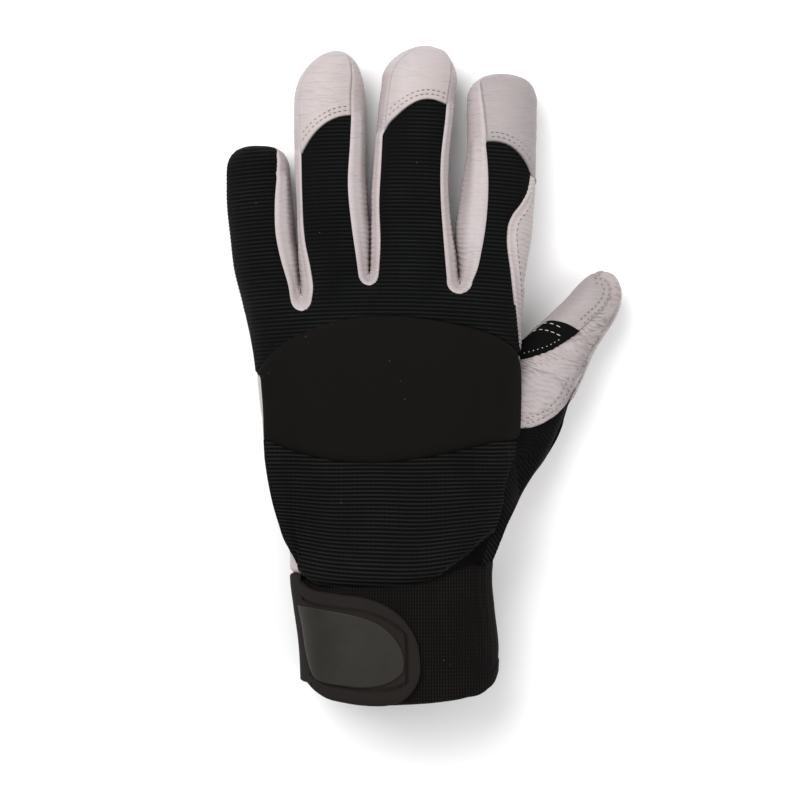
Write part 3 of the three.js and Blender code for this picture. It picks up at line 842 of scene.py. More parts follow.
@dataclass(frozen=True)
class ClothFinish:
    """A black cloth."""

    name: str
    weave: Weave
    dark: tuple[float, float, float]
    light: tuple[float, float, float]
    lint: float = 0.6
    gloss: float = 0.09
    pitch: float = 0.8
    turn: float = 0.0
    depth: float = 0.14

    def make(self) -> bpy.types.Material:
        """The material: a stitch or loop pattern at the cloth's own pitch, fibre noise and lint, and on
        ribbed knit painted shade in the grooves and a painted highlight on the ridges.
        """
        shader = Shader(self.name)
        count = 2 * np.pi / self.pitch
        place = shader.scaled(count, count, count, self.turn)
        fibre = shader.noise(shader.scaled(6.0, 6.0, 6.0), 3.0, 0.7)
        across = shader.part(place, "X")
        along = shader.part(place, "Y")
        if self.weave is Weave.RIB:
            pattern = abs(across.sine()) * 0.6 + fibre * 0.5
        elif self.weave is Weave.JERSEY:
            pattern = (across + along * 0.5).sine() * (along * 2.0).sine() * 0.25 + fibre * 0.8
        elif self.weave is Weave.LOOP:
            wobble = shader.noise(shader.scaled(0.7, 0.7, 0.7), 2.0) * 3.0
            worn = shader.noise(shader.scaled(0.035, 0.02, 0.03), 2.0).between(0.4, 0.7)
            column = (across + wobble * 0.5).sine() * 0.45 + (along * 0.8 + wobble).sine() * 0.2
            pattern = column * (worn * 0.7 + 0.3) + fibre * 0.8
        else:
            pattern = (across + along).sine() * 0.35 + fibre * 0.6
        share = pattern.between(0.25, 1.1)
        # Painted shade and highlight: on ribbed knit the rib attribute darkens the grooves and lightens the
        # ridges
        if self.weave is Weave.RIB:
            ridge = shader.node("ShaderNodeAttribute", {"attribute_name": "rib"}, {}, "Fac")
            share = share * ridge.between(0.35, 1.0)
        tone = shader.noise(shader.scaled(0.08, 0.08, 0.08), 2.0)
        colour = shader.blend(share * (tone + 0.4), self.dark, self.light)
        speck = 1 - shader.cells(shader.scaled(0.11, 0.11, 0.11)).between(0.015, 0.035)
        colour = shader.blend(speck * self.lint, colour, (0.075, 0.071, 0.065))
        normal = shader.bump(pattern, self.depth)
        rough = fibre * 0.15 + 0.82
        shader.finish(colour, rough, normal, Specular_IOR_Level=self.gloss)
        return shader.material


@dataclass(frozen=True)
class RubberFinish:
    """The smooth bare rubber of the badge."""

    name: str = "badge rubber"
    colour: tuple[float, float, float] = (0.0108, 0.0090, 0.0062)
    worn: tuple[float, float, float] = (0.0145, 0.0123, 0.0088)

    def make(self) -> bpy.types.Material:
        """The material: an even warm grey with faint scuffs."""
        shader = Shader(self.name)
        cloud = shader.noise(shader.scaled(0.12, 0.12, 0.12), 4.0, 0.6)
        scuff = shader.noise(shader.scaled(0.5, 4.0, 1.0, 0.5), 2.0).between(0.62, 0.75)
        colour = shader.blend(cloud.between(0.3, 0.75) + scuff * 0.2, self.colour, self.worn)
        normal = shader.bump(shader.noise(shader.scaled(7.0, 7.0, 7.0), 2.0), 0.02)
        shader.finish(colour, cloud * 0.12 + 0.48 + scuff * 0.06, normal, Specular_IOR_Level=0.2)
        return shader.material


@dataclass(frozen=True)
class ThreadFinish:
    """Sewing thread."""

    name: str
    colour: tuple[float, float, float]

    def make(self) -> bpy.types.Material:
        """The material: twisted strands."""
        shader = Shader(self.name)
        twist = shader.part(shader.scaled(9.0, 9.0, 9.0, 0.6), "X").sine() * 0.5 + 0.5
        darker = tuple(channel * 0.7 for channel in self.colour)
        colour = shader.blend(twist * 0.6, self.colour, darker)
        shader.finish(colour, 0.6, shader.bump(twist, 0.05))
        return shader.material


class Finishes:
    """Every material of the glove."""

    def __init__(self) -> None:
        """Makes the materials."""
        self.leather = LeatherFinish().make()
        # Painted shade: darker copies of the white leather for the index cap, the thumb front and the thumb
        # sleeve, which lie in less light
        self.index_shaded_leather = LeatherFinish("shaded leather", tone=0.67, crease_depth=0.14).make()
        self.thumb_shaded_leather = LeatherFinish("thumb shaded leather", tone=0.84, crease_turn=0.44,
                                           crease_depth=0.45).make()
        self.back_knit = ClothFinish("back knit", Weave.RIB, (0.0004, 0.0006, 0.0005),
                                     (0.0150, 0.0165, 0.0155), pitch=0.85).make()
        self.lower_knit = ClothFinish("lower back knit", Weave.RIB, (0.0004, 0.0005, 0.0004),
                                      (0.0220, 0.0230, 0.0215), pitch=0.95).make()
        self.gusset_knit = ClothFinish("gusset knit", Weave.RIB, (0.0005, 0.0006, 0.0005),
                                       (0.0150, 0.0160, 0.0150), pitch=0.95, turn=0.9).make()
        self.pad_jersey = ClothFinish("pad jersey", Weave.JERSEY, (0.0030, 0.0026, 0.0022),
                                      (0.0070, 0.0062, 0.0054), pitch=0.6, depth=0.05).make()
        self.patch_cloth = ClothFinish("thumb patch cloth", Weave.BINDING, (0.0011, 0.0012, 0.0011),
                                       (0.0046, 0.0046, 0.0042), lint=0.0, pitch=0.7, turn=0.3,
                                       depth=0.08).make()
        self.cuff_elastic = ClothFinish("cuff elastic", Weave.LOOP, (0.0012, 0.0009, 0.0008),
                                        (0.0125, 0.0090, 0.0078), pitch=1.05, depth=0.14).make()
        self.strap_cloth = ClothFinish("strap cloth", Weave.BINDING, (0.0105, 0.0084, 0.0076),
                                       (0.0300, 0.0250, 0.0230), pitch=0.7, turn=0.2, depth=0.08).make()
        self.badge_rubber = RubberFinish().make()
        self.leather_thread = ThreadFinish("grey thread", (0.165, 0.138, 0.136)).make()
        self.pale_thread = ThreadFinish("pale thread", (0.465, 0.450, 0.420)).make()


@dataclass
class BackPanels:
    """The ribbed upper back with its four finger tongues, the knuckle pad and the lower back."""

    hand: HandForm
    shop: Workshop
    finishes: Finishes
    rib_pitch: float = 1.50
    rib_height: float = 0.24
    lower_pitch: float = 1.51
    lower_rib_height: float = 0.34
    row_step: float = 0.255
    wall: float = 1.1
    under_web: float = 0.55
    right_edge: float = 53.0
    columns: dict[str,
                  int] = field(default_factory=lambda: {"little": 28, "ring": 32, "middle": 30, "index": 26})

    def tongue_borders(self, name: str, y: Array) -> tuple[Array, Array]:
        """Left and right border x of a tongue at y, pulled together into U shapes over the crotches."""
        order = list(FINGER_TIPS)
        place = order.index(name)
        if place == 0:
            left = self.hand.fingers["little"].point(y, np.pi + 0 * y)[..., 0]
        else:
            left = web_border(place - 1, f"{name}_left", y, self.under_web)
        if place == 3:
            right = border_x("index_right", y)
        else:
            right = web_border(place, f"{name}_right", y, -self.under_web)
        return left, right

    def hem_y(self, name: str, x: Array) -> Array:
        """Where a tongue ends: under its cap, or at the little finger's tip."""
        if name == "little":
            tube = self.hand.fingers["little"]
            start = tube.sections[-1].y
            cx, hw, _, _ = tube.section(np.full_like(x, start))
            ratio = np.clip(np.abs(x - cx) / hw, 0.0, 1.0)
            return start + (tube.tip - start) * (1 - ratio**tube.power) ** (1 / tube.power)
        return line_y(f"{name}_cap", x) + 1.2

    def root_y(self, place: int) -> float:
        """The y of the line where tongues part, at each of its five corners."""
        return (149.0, *(y + self.under_web for _, y in CROTCHES), 151.5)[place]

    def spread(self, name: str) -> Array:
        """Column shares across a tongue, close together where the surface turns down the hand's side."""
        t = np.linspace(0.0, 1.0, self.columns[name] + 1)
        return 1 - np.cos(t * np.pi / 2) if name == "little" else t

    def from_webs(self, x: Array, y: Array) -> Array:
        """Distance outside the nearest web's drawn U: half an ellipse at its foot, its two borders above."""
        names = list(FINGER_TIPS)
        nearest = 99.0
        for place, (middle_x, middle_y) in enumerate(CROTCHES):
            left = middle_x - border_x(f"{names[place]}_right", y)
            right = border_x(f"{names[place + 1]}_left", y) - middle_x
            half = np.where(x < middle_x, left, right)
            u = (x - middle_x) / half
            v = np.maximum(1 - (y - middle_y) / CROTCH_HEIGHT, 0.0)
            size = np.maximum(np.hypot(u, v), 0.01)
            radius = (u**2 * half + v**2 * CROTCH_HEIGHT) / size**2
            nearest = np.minimum(nearest, (size - 1) * radius)
        return nearest

    def rib(self, x: Array, y: Array, pitch: float, bow: float) -> Array:
        """Rib height from 0 to 1, a rounded ridge for each pitch along y, bowed across x."""
        return 0.5 + 0.5 * np.cos(2 * np.pi * (y + bow * x**2) / pitch)

    def upper_back(self) -> None:
        """The upper back: a fan of columns up to the crotch line, then a strip for each tongue.

        A point is a share across between two borders and a share along between two lines, and its
        height is read from the hand form.
        """
        tongues = []
        roots_x = []
        roots_y = []
        for place, name in enumerate(FINGER_TIPS):
            share = self.spread(name)
            root_left = self.root_y(place)
            root_right = self.root_y(place + 1)
            root_y = mix(root_left, root_right, smooth_step(share, 0.12, 0.88))
            x_left = self.tongue_borders(name, np.array([root_left]))[0][0]
            x_right = self.tongue_borders(name, np.array([root_right]))[1][0]
            if place == 0:
                x_left = value_at(self.hand.left_edge, root_left)
            root_x = mix(x_left, x_right, share)
            tongues.append(self.tongue(name, share, root_y, root_x))
            roots_x.append(root_x if place == 0 else root_x[1:])
            roots_y.append(root_y if place == 0 else root_y[1:])
        fan = self.fan(np.concatenate(roots_x), np.concatenate(roots_y))
        self.shop.build("back_knit", [fan, *tongues], self.finishes.back_knit, "ribbed_knit", ["back_knit"],
                        self.wall, 0.06)

    def fan(self, root_x: Array, root_y: Array) -> Patch:
        """The upper back under the tongues, down to the pad."""
        left_limit = value_at(self.hand.left_edge, 128.0)
        root_left = root_x[0]
        root_right = root_x[-1]
        across = (root_x - root_left) / (root_right - root_left)
        foot_x = mix(left_limit, self.right_edge, across)
        foot_y = line_y("pad_top", foot_x) - 1.0
        rows = int(np.ceil((np.max(root_y) - np.min(foot_y)) / self.row_step))
        along = np.linspace(0.0, 1.0, rows + 1)[:, None]
        y = mix(foot_y, root_y, along)
        x = mix(foot_x, root_x, along)
        x = x + (self.hand.left_edge(y) - mix(left_limit, root_left, along)) * (1 - across)
        ribs = self.rib(x, y, self.rib_pitch, 0.0009)
        patch = Patch(np.stack([x, y, self.hand.top(x, y)], axis=-1), rib=ribs)
        over_pad = y - line_y("pad_top", x)
        lip = 0.35 * smooth_step(over_pad, -0.6, 0.6) * (1 - smooth_step(over_pad, 1.0, 4.0))
        tuck = 0.9 * (1 - smooth_step(over_pad, -0.6, 0.9))
        sunk = 1 - smooth_step(self.from_webs(x, y), 0.1, 1.1)
        raised = ribs * self.rib_height * smooth_step(over_pad, -0.6, 1.2) * (1 - 0.65 * sunk)
        raised = raised + lip - 0.5 * sunk
        return patch.displaced(raised * smooth_step(x - self.hand.left_edge(y), 0.0, 1.6) - tuck)

    def tongue(self, name: str, share: Array, root_y: Array, root_x: Array) -> Patch:
        """One finger's tongue, from the crotch line to its hem."""
        end_left = np.array([self.hem_y(name, np.array([self.end_x(name, 0)]))[0]])
        end_right = np.array([self.hem_y(name, np.array([self.end_x(name, 1)]))[0]])
        end_x = mix(self.end_x(name, 0), self.end_x(name, 1), share)
        end_y = self.hem_y(name, end_x)
        rows = int(np.ceil((np.max(end_y) - np.min(root_y)) / self.row_step))
        along = np.linspace(0.0, 1.0, rows + 1)[:, None]
        y = mix(root_y, end_y, along)
        left_y = mix(root_y[0], end_left[0], along[:, 0])
        right_y = mix(root_y[-1], end_right[0], along[:, 0])
        left = self.tongue_borders(name, left_y)[0][:, None]
        right = self.tongue_borders(name, right_y)[1][:, None]
        x = mix(left, right, share)
        fade = np.clip(1 - along * 12.0, 0.0, 1.0) ** 2
        x = x + (root_x - x[0]) * fade
        ribs = self.rib(x, y, self.rib_pitch, 0.0009)
        patch = Patch(np.stack([x, y, self.hand.top(x, y)], axis=-1), rib=ribs)
        sunk = 1 - smooth_step(self.from_webs(x, y), 0.1, 1.1)
        if name == "index":
            sunk = np.maximum(sunk, 1 - smooth_step(right - x, 0.0, 0.8))
        if name != "little":
            sunk = np.maximum(sunk, smooth_step(y - end_y, -1.0, -0.3))
        closing = 1 - smooth_step(y, tube_end(name) - 3.0, tube_end(name) - 0.5)
        return patch.displaced((ribs * self.rib_height * (1 - 0.65 * sunk) - 0.5 * sunk) * closing)

    def end_x(self, name: str, side: int) -> float:
        """A tongue's hem corner x, left or right."""
        corners = {"little": (-58.0, -39.4), "ring": (-29.7, -10.8), "middle": (1.0, 25.2),
                   "index": (39.8, 56.8)}
        return corners[name][side]

    def left_border(self, y: Array) -> Array:
        """The back panels' left border: on the silhouette, but inside it where the palm leather shows."""
        knots = [48.0, 52.0, 56.0, 59.0, 63.0, 70.0, 94.0, 109.0, 117.6, 124.0, 129.0]
        inset = np.interp(y, knots, [4.4, 3.4, 1.8, 0.9, 0.6, 0.6, 0.7, 1.5, 1.6, 1.6, 0.0])
        return self.hand.left_edge(y) + inset

    def right_border(self, y: Array) -> Array:
        """The knuckle pad's border on the thumb side, bulging a little over the thumb's leather."""
        return smooth_line(y, [92.0, 103.0, 112.0, 121.0, 129.0, 133.7], [52.6, 53.0, 53.3, 53.4, 52.8, 51.4])

    def knuckle_pad(self) -> None:
        """The padded oval: a crowned sheet between its two arcs, with its edge tucked down into the seam.

        Its rise over the hand form is a flat-topped arch, 1 - (1 - d/5)^2.4 of the distance d from the edge.
        """
        t = np.linspace(0.0, 1.0, 150)
        across = mix(t, (1 - np.cos(np.pi * t)) / 2, 0.75)
        along = np.linspace(0.0, 1.0, 84)[:, None]
        foot_x = mix(value_at(self.left_border, 102.0), self.right_edge, across)
        head_x = mix(value_at(self.left_border, 127.0), self.right_edge - 1.6, across)
        foot_y = line_y("pad_bottom", foot_x) - 0.9
        head_y = line_y("pad_top", head_x) + 0.7
        y = mix(foot_y, head_y, along)
        x = mix(self.left_border(y), self.right_border(y), across)
        patch = Patch(np.stack([x, y, self.hand.top(x, y)], axis=-1))
        ends = np.minimum(y - foot_y, head_y - y)
        sides = np.minimum(x - self.left_border(y), self.right_border(y) - x) * 1.5 + 0.1
        near = np.clip(np.minimum(ends, sides) / 5.0, 0.0, 1.0)
        crown = 1 - (1 - near) ** 2.4
        dimple = soft_noise(x, y, 26.0, 3) * 0.16 * crown
        rise = 1.6 * crown - 1.0 * (1 - smooth_step(near, 0.0, 0.16)) + dimple
        pad = self.shop.build("knuckle_pad", [patch.displaced(rise)], self.finishes.pad_jersey, "neoprene",
                              ["knuckle_pad"], 1.6)

    def gusset_x(self, y: Array) -> Array:
        """The seam between the lower back and the gusset."""
        return smooth_line(y, [54.0, 61.4, 70.0, 82.8, 89.5, 96.3, 101.5],
                           [39.0, 41.3, 43.9, 47.7, 49.5, 51.8, 52.9])

    def lower_back(self) -> None:
        """The coarse ribbed panel: ribs across, a soft fold rolled over the cuff seam, edges tucked down."""
        t = np.linspace(0.0, 1.0, 110)
        across = mix(t, (1 - np.cos(np.pi * t)) / 2, 0.7)
        along = np.linspace(0.0, 1.0, 215)[:, None]
        foot_x = mix(value_at(self.left_border, 52.0), value_at(self.gusset_x, 56.0), across)
        head_x = mix(value_at(self.left_border, 101.0), self.right_edge, across)
        foot_y = line_y("cuff_top", foot_x) - 1.0
        head_y = line_y("pad_bottom", head_x) + 0.9
        y = mix(foot_y, head_y, along)
        x = mix(self.left_border(y), self.gusset_x(y), across)
        over_cuff = y - line_y("cuff_top", x)
        from_pad = line_y("pad_bottom", x) - y
        fold_y = smooth_line(x, [14.0, 20.2, 26.2, 32.1, 38.1, 41.8], [46.8, 49.9, 54.0, 58.5, 62.9, 66.6])
        beyond = (y - fold_y) * 0.8
        folded = smooth_step(x, 14.0, 26.0)
        drape = 2.3 * smooth_step(beyond, -1.8, 0.9) * (1 - smooth_step(beyond, 2.0, 13.0)) * folded
        valley = 0.9 * (1 - smooth_step(beyond, -4.0, 0.0)) * folded
        puff = 1.7 * smooth_step(over_cuff, -0.6, 2.6) * (1 - smooth_step(over_cuff, 4.0, 15.0))
        puff = puff * (1 - folded)
        tuck = 1.5 * (1 - smooth_step(over_cuff, -1.0, 0.8)) + 1.0 * (1 - smooth_step(from_pad, -0.6, 1.6))
        side = 0.9 * (1 - smooth_step(self.gusset_x(y) - x, 0.0, 1.5))
        level = 1 - smooth_step(np.abs(x - 4.0), 38.0, 44.0)
        lift = puff + drape - valley - tuck - side + soft_noise(x, y, 30.0, 5) * 0.2 * level
        sag = 0.0028 * (x - 4.0) ** 2 * smooth_step(92.0 - y, 0.0, 40.0)
        ribs = self.rib(x, y - sag + soft_noise(x, y, 34.0, 9) * 0.3, self.lower_pitch, 0.0)
        # Painted light: the rib attribute fades to dark past the fold as painted shade, and rises to a
        # painted highlight along the fold's crest
        past_fold = (1 - smooth_step(beyond, -1.4, -0.2)) * folded
        fold_crest_highlight = bell(beyond, 0.2, 0.5) * folded
        rib_shade_and_crest_highlight = np.maximum(ribs * (1 - past_fold), fold_crest_highlight)
        patch = Patch(np.stack([x, y, self.hand.top(x, y)], axis=-1), rib=rib_shade_and_crest_highlight)
        on_top = smooth_step(x - self.left_border(y), 0.2, 2.5)
        raised = ribs * self.lower_rib_height * smooth_step(from_pad, 0.0, 1.5) * on_top * (1 - past_fold)
        patch = patch.displaced(lift + raised)
        self.shop.build("lower_back_knit", [patch], self.finishes.lower_knit, "ribbed_knit",
                        ["lower_back_knit"], self.wall)

    def right_silhouette(self, y: Array) -> Array:
        """The thumb side's outline under the thumb hem."""
        rows = ((48.0, 40.6), (54.0, 41.3), (58.0, 43.0), (62.8, 45.5), (68.8, 48.0), (74.9, 51.2),
                (80.9, 54.1), (87.0, 57.9), (93.0, 62.3), (99.0, 65.6), (105.1, 68.4), (111.5, 70.6),
                (118.0, 72.4), (125.0, 75.0))
        return smooth_line(y, [r[0] for r in rows], [r[1] for r in rows])

    def side_gusset(self) -> None:
        """The gusset beside the wrist: diagonal ribs between the lower back's seam and the outline."""
        t = np.linspace(0.0, 1.0, 44)
        across = np.sin(t * np.pi / 2)
        along = np.linspace(0.0, 1.0, 250)[:, None]
        foot_y = 54.2 + 1.2 * across
        head_y = mix(104.0, 122.0, across)
        y = mix(foot_y, head_y, along)
        left = self.gusset_x(y) - 1.8
        right = self.right_silhouette(y)
        x = mix(left, right, across)
        height = self.hand.top(x, y, True)
        widest = mix(20.0, 15.0, smooth_step(y, 60.0, 95.0))
        height = mix(height, widest, smooth_step(across + 0 * y, 0.93, 1.0))
        ribs = self.rib(x, y * 0.62 + x * 0.82, self.lower_pitch, 0.0)
        patch = Patch(np.stack([x, y, height], axis=-1), rib=ribs)
        on_top = 1 - smooth_step(across + 0 * y, 0.80, 0.93)
        tuck = 0.9 * (1 - smooth_step(across * 12.0 + 0 * y, 0.0, 1.2))
        patch = patch.displaced((ribs * 0.24 + soft_noise(x, y, 22.0, 12) * 0.2 - 0.5) * on_top - tuck)
        self.shop.build("side_gusset", [patch], self.finishes.gusset_knit, "ribbed_knit", ["side_gusset"],
                        0.9)


CROTCH_HEIGHT = 4.6


def opening_share(rise: Array) -> Array:
    """How far a crotch has opened at a share of its height: a quarter circle."""
    return np.sqrt(np.maximum(1 - (1 - np.clip(rise, 0.0, 1.0)) ** 2, 0.0))


def web_border(crotch: int, name: str, y: Array, under: float) -> Array:
    """A tongue's edge beside a web: the drawn line, moved under it and brought round to the crotch."""
    middle_x, middle_y = CROTCHES[crotch]
    start = middle_y + abs(under)
    share = opening_share((y - start) / (CROTCH_HEIGHT - abs(under)))
    return middle_x + (border_x(name, y) - under - middle_x) * share


def tube_end(name: str) -> float:
    """The y of a finger's tip, or far past it where a cap hides the knit's end."""
    return FINGER_TIPS[name][0] if name == "little" else FINGER_TIPS[name][0] + 10.0


@dataclass
class FingerLeather:
    """The webs between the fingers, the caps, the index side and the palm with the finger fronts."""

    hand: HandForm
    shop: Workshop
    finishes: Finishes
    wall: float = 1.1
    web_columns: int = 420
    palm_foot: float = 45.5

    def side_angle(self, finger: str, side: str, y: Array) -> Array:
        """Angle of the panel seam on one side of a finger: the tongue's border, then the cap's seam.

        Args:
            finger: the finger's name.
            side: left or right.
            y: where to read it.

        Returns:
            The angle in radians.
        """
        name = f"{finger}_{side}"
        if name == "index_right":
            return 0 * y
        tube = self.hand.fingers[finger]
        inward = 1.0 if side == "left" else -1.0
        drawn = tube.angle(border_x(name, y), y)
        rows = np.array(TIP_SEAMS[name])
        ratio = smooth_line(y, rows[:, 0], rows[:, 1])
        seam = np.arccos(np.clip(np.sign(ratio) * np.abs(ratio) ** (tube.squareness / 2), -1.0, 1.0))
        seam = seam + inward * -0.02
        return mix(drawn, seam, smooth_step(y, rows[0, 0] - 1.5, rows[0, 0] + 1.5))

    def web(self, crotch: int) -> None:
        """One web: a strip from a fingertip down one finger's side, round the crotch and up the next.

        A point is a share along the strip, which falls to the crotch as the square of the distance from
        it, and a share down from the knit's border to the side seam.
        """
        order = list(FINGER_TIPS)
        names = (order[crotch], order[crotch + 1])
        first, second = (self.hand.fingers[name] for name in names)
        counts = (self.web_columns, self.web_columns - 1)
        middle_x, middle_y = CROTCHES[crotch]
        down = np.linspace(0.0, 1.0, 26)[:, None] ** 1.5
        along = np.linspace(0.0, 1.0, self.web_columns)[None, :]
        bottom_y = middle_y + down * (166.0 - middle_y)
        parting = (176.2, 185.3, 178.1)[crotch]
        sides = []
        for finger, side, turned in ((names[0], "right", -0.20), (names[1], "left", np.pi + 0.20)):
            tube = self.hand.fingers[finger]
            reach = mix(along**1.7, np.sin(along * np.pi / 2) ** 1.6, smooth_step(along, 0.5, 1.0))
            y = bottom_y + (tube.tip - bottom_y) * reach
            edge = self.side_angle(finger, side, y)
            angle = mix(edge, turned, down**0.9)
            point = tube.point(y, angle)
            border = tube.point(y, edge)
            share = opening_share((y - bottom_y) / (CROTCH_HEIGHT + 3.0 * down))
            walls = (first.column("right", y), second.column("left", y))
            own = walls[0] if side == "right" else walls[1]
            touch = (walls[0] + walls[1]) / 2 - own + (0.15 if side == "right" else -0.15)
            together = 1 - smooth_step(y, parting - 7.0, parting + 1.0)
            point[..., 0] += touch * smooth_step(down, 0.15, 0.6) * together
            centre_x = mix(middle_x, (walls[0] + walls[1]) / 2, smooth_step(down, 0.0, 0.5))
            border_plan = centre_x + (border[..., 0] - centre_x) * share
            knit_z = self.hand.top(border_plan, y)
            point[..., 2] += (knit_z - border[..., 2]) * (1 - down) ** 2
            point[..., 0] = centre_x + (point[..., 0] - centre_x) * share
            sides.append((point, share, y))
        common = (sides[0][0][..., 2] + sides[1][0][..., 2]) / 2
        for point, share, _ in sides:
            point[..., 2] = mix(common, point[..., 2], share)
        joined = np.concatenate([sides[0][0][:, ::-1], sides[1][0][:, 1:]], axis=1)
        y = np.concatenate([sides[0][2][:, ::-1], sides[1][2][:, 1:]], axis=1)
        rim_gap = self.hand.top(joined[:1, :, 0], y[:1]) - joined[:1, :, 2]
        at_foot = 1 - smooth_step(y[:1] - middle_y, 8.0, 16.0)
        joined[..., 2] += rim_gap * at_foot * (1 - smooth_step(down, 0.0, 0.35))
        patch = Patch(joined)
        tips = np.repeat([first.tip, second.tip], counts)
        ends = [TIP_SEAMS[f"{names[0]}_right"][0][0], TIP_SEAMS[f"{names[1]}_left"][0][0]]
        knit_ends = np.repeat(ends, counts)
        beside_knit = 1 - smooth_step(y - knit_ends, -1.0, 2.0)
        lip = 0.45 * bell(down, 0.07, 0.07) + bell(down, 0.26, 0.16)
        lip = lip - 0.25 * (1 - smooth_step(down, 0.0, 0.02))
        beside_cap = 0.12 * bell(down, 0.09, 0.06) - 0.45 * (1 - smooth_step(down, 0.0, 0.05))
        right_wall = np.repeat([0.35, 1.0], counts)
        pleats = np.sin(2 * np.pi * y / 0.80 + 2.5 * soft_noise(y, down * 10, 16.0, 24 + crotch)) * right_wall
        pucker = pleats * 0.13 * bell(down, 0.02, 0.10) * beside_knit
        waves = np.sin(2 * np.pi * y / 1.9 + 3 * soft_noise(y, down * 12, 14.0, 20 + crotch))
        folds = 0.12 * waves + 0.04 * pleats
        folds = folds * smooth_step(down, 0.08, 0.35) * (0.3 + 0.7 * smooth_step(215.0 - y, 0.0, 30.0))
        lift = mix(beside_cap, lip, beside_knit) + pucker + folds
        patch = patch.displaced(lift * (1 - smooth_step(y, tips - 3.0, tips - 0.5)))
        name = f"fourchette_{names[0]}_{names[1]}"
        self.shop.build(name, [patch], self.finishes.leather, "white_leather", [name], self.wall)

    def cap(self, finger: str, roll: float) -> None:
        """One fingertip cap: a hood from its hem line to the tip, with a raised, turned hem edge.

        Args:
            finger: the finger's name.
            roll: height of the turned hem in millimetres.
        """
        tube = self.hand.fingers[finger]
        share = np.linspace(0.0, 1.0, 66)[None, :]
        hem = np.full(share.shape, 215.0)
        for _ in range(8):
            angle = mix(self.side_angle(finger, "left", hem), self.side_angle(finger, "right", hem), share)
            hem = line_y(f"{finger}_cap", tube.point(hem, angle)[..., 0])
        steps = np.concatenate([np.linspace(0.0, 0.10, 14)[:-1], np.linspace(0.10, 1.0, 78)])[:, None]
        y = hem + (tube.tip - hem) * mix(steps, np.sin(steps * np.pi / 2), 0.75)
        angle = mix(self.side_angle(finger, "left", y), self.side_angle(finger, "right", y), share)
        from_hem = y - hem
        width = tube.section(y)[1] * np.abs(angle[:, :1] - angle[:, -1:])
        from_left = share * width
        from_right = (1 - share) * width + (9.0 if finger == "index" else 0.0)
        sides = np.minimum(from_left, from_right)
        slim = 1 - 0.7 * smooth_step(share, 0.80, 1.0) * (finger == "index")
        body = 0.42 * slim * smooth_step(from_hem, 0.0, 0.25)
        turned = roll * slim * bell(from_hem, 0.85, 0.5)
        ditch = -0.15 * (bell(from_hem, 1.9, 0.3) + bell(from_hem, 3.5, 0.3))
        seam = -0.42 * (1 - smooth_step(sides, 0.0, 0.7)) + 0.12 * bell(sides, 1.2, 0.7)
        folds = soft_noise(angle * 9, y, 9.0, 31) * 0.08 + soft_noise(angle * 12, y * 2.6, 11.0, 33) * 0.07
        lift = body + turned + ditch + seam + folds * smooth_step(from_hem, 3.0, 9.0)
        lift = lift - 0.5 * (1 - smooth_step(from_hem, 0.0, 0.18))
        closing = 1 - smooth_step(y, tube.tip - 3.0, tube.tip - 0.5)
        patch = Patch(tube.point(y, angle)).displaced(lift * closing)
        # The index cap takes the darker copy of the leather, with painted shade
        hide = self.finishes.index_shaded_leather if finger == "index" else self.finishes.leather
        self.shop.build(f"{finger}_cap", [patch], hide, "white_leather", [f"{finger}_cap"], self.wall)

    def index_side(self) -> None:
        """The index finger's side panel, from beside the pad up to the cap's hem, with a lapped edge."""
        tube = self.hand.fingers["index"]
        t = np.linspace(0.0, 1.0, 30)
        across = np.sin(t * np.pi / 2)[None, :]
        y = np.linspace(131.0, 204.0, 280)[:, None] + 0 * across
        left = border_x("index_right", y) - 0.1
        outline = tube.point(y, 0 * y)[..., 0]
        right = mix(np.full_like(outline, 53.05), outline - 0.2, smooth_step(y, 136.0, 152.0))
        right = right - 0.6 * smooth_step(y, 196.8, 198.6)
        x = mix(left, right, across)
        z = self.hand.top(np.minimum(x, np.maximum(outline, 53.05)), y)
        centre = tube.section(y)[2]
        z = mix(z, centre - 4.0, smooth_step(across + 0 * y, 0.94, 1.0) * smooth_step(y, 140.0, 158.0))
        patch = Patch(np.stack([x, y, z], axis=-1))
        lap = smooth_line(y, [131, 149.6, 162, 172.6, 177.5, 182.8, 186.6, 191.5, 194.8, 199.5],
                          [52.9, 52.4, 51.9, 50.7, 50.4, 51.5, 54.3, 56.5, 57.0, 57.2])
        on_top = 1 - 0.4 * smooth_step(across + 0 * y, 0.75, 1.0)
        step = 0.5 * smooth_step(x - lap, -0.2, 0.35) * on_top
        edge = -0.6 * (1 - smooth_step(x - left, 0.0, 0.7)) + 0.3 * bell(x - left, 0.9, 0.5)
        folds = 0.11 * np.sin(2 * np.pi * (y + 0.4 * x) / 1.9 + 2 * soft_noise(x, y, 13.0, 41)) * on_top
        beside = 2.2 * smooth_step(across + 0 * y, 0.70, 0.92)
        under_cap = 0.9 * smooth_step(y - line_y("index_cap", x) - beside, -1.0, 0.4)
        on_face = 1 - smooth_step(across + 0 * y, 0.93, 0.99)
        patch = patch.displaced((step + edge + folds - under_cap) * on_face)
        self.shop.build("index_side", [patch], self.finishes.leather, "white_leather", ["index_side"],
                        self.wall)

    def round_in(self, y: Array) -> Array:
        """How far in the palm's turned-up little-finger side reaches, narrower beside the finger."""
        return mix(10.0, 3.0, smooth_step(y, 130.0, 152.0))

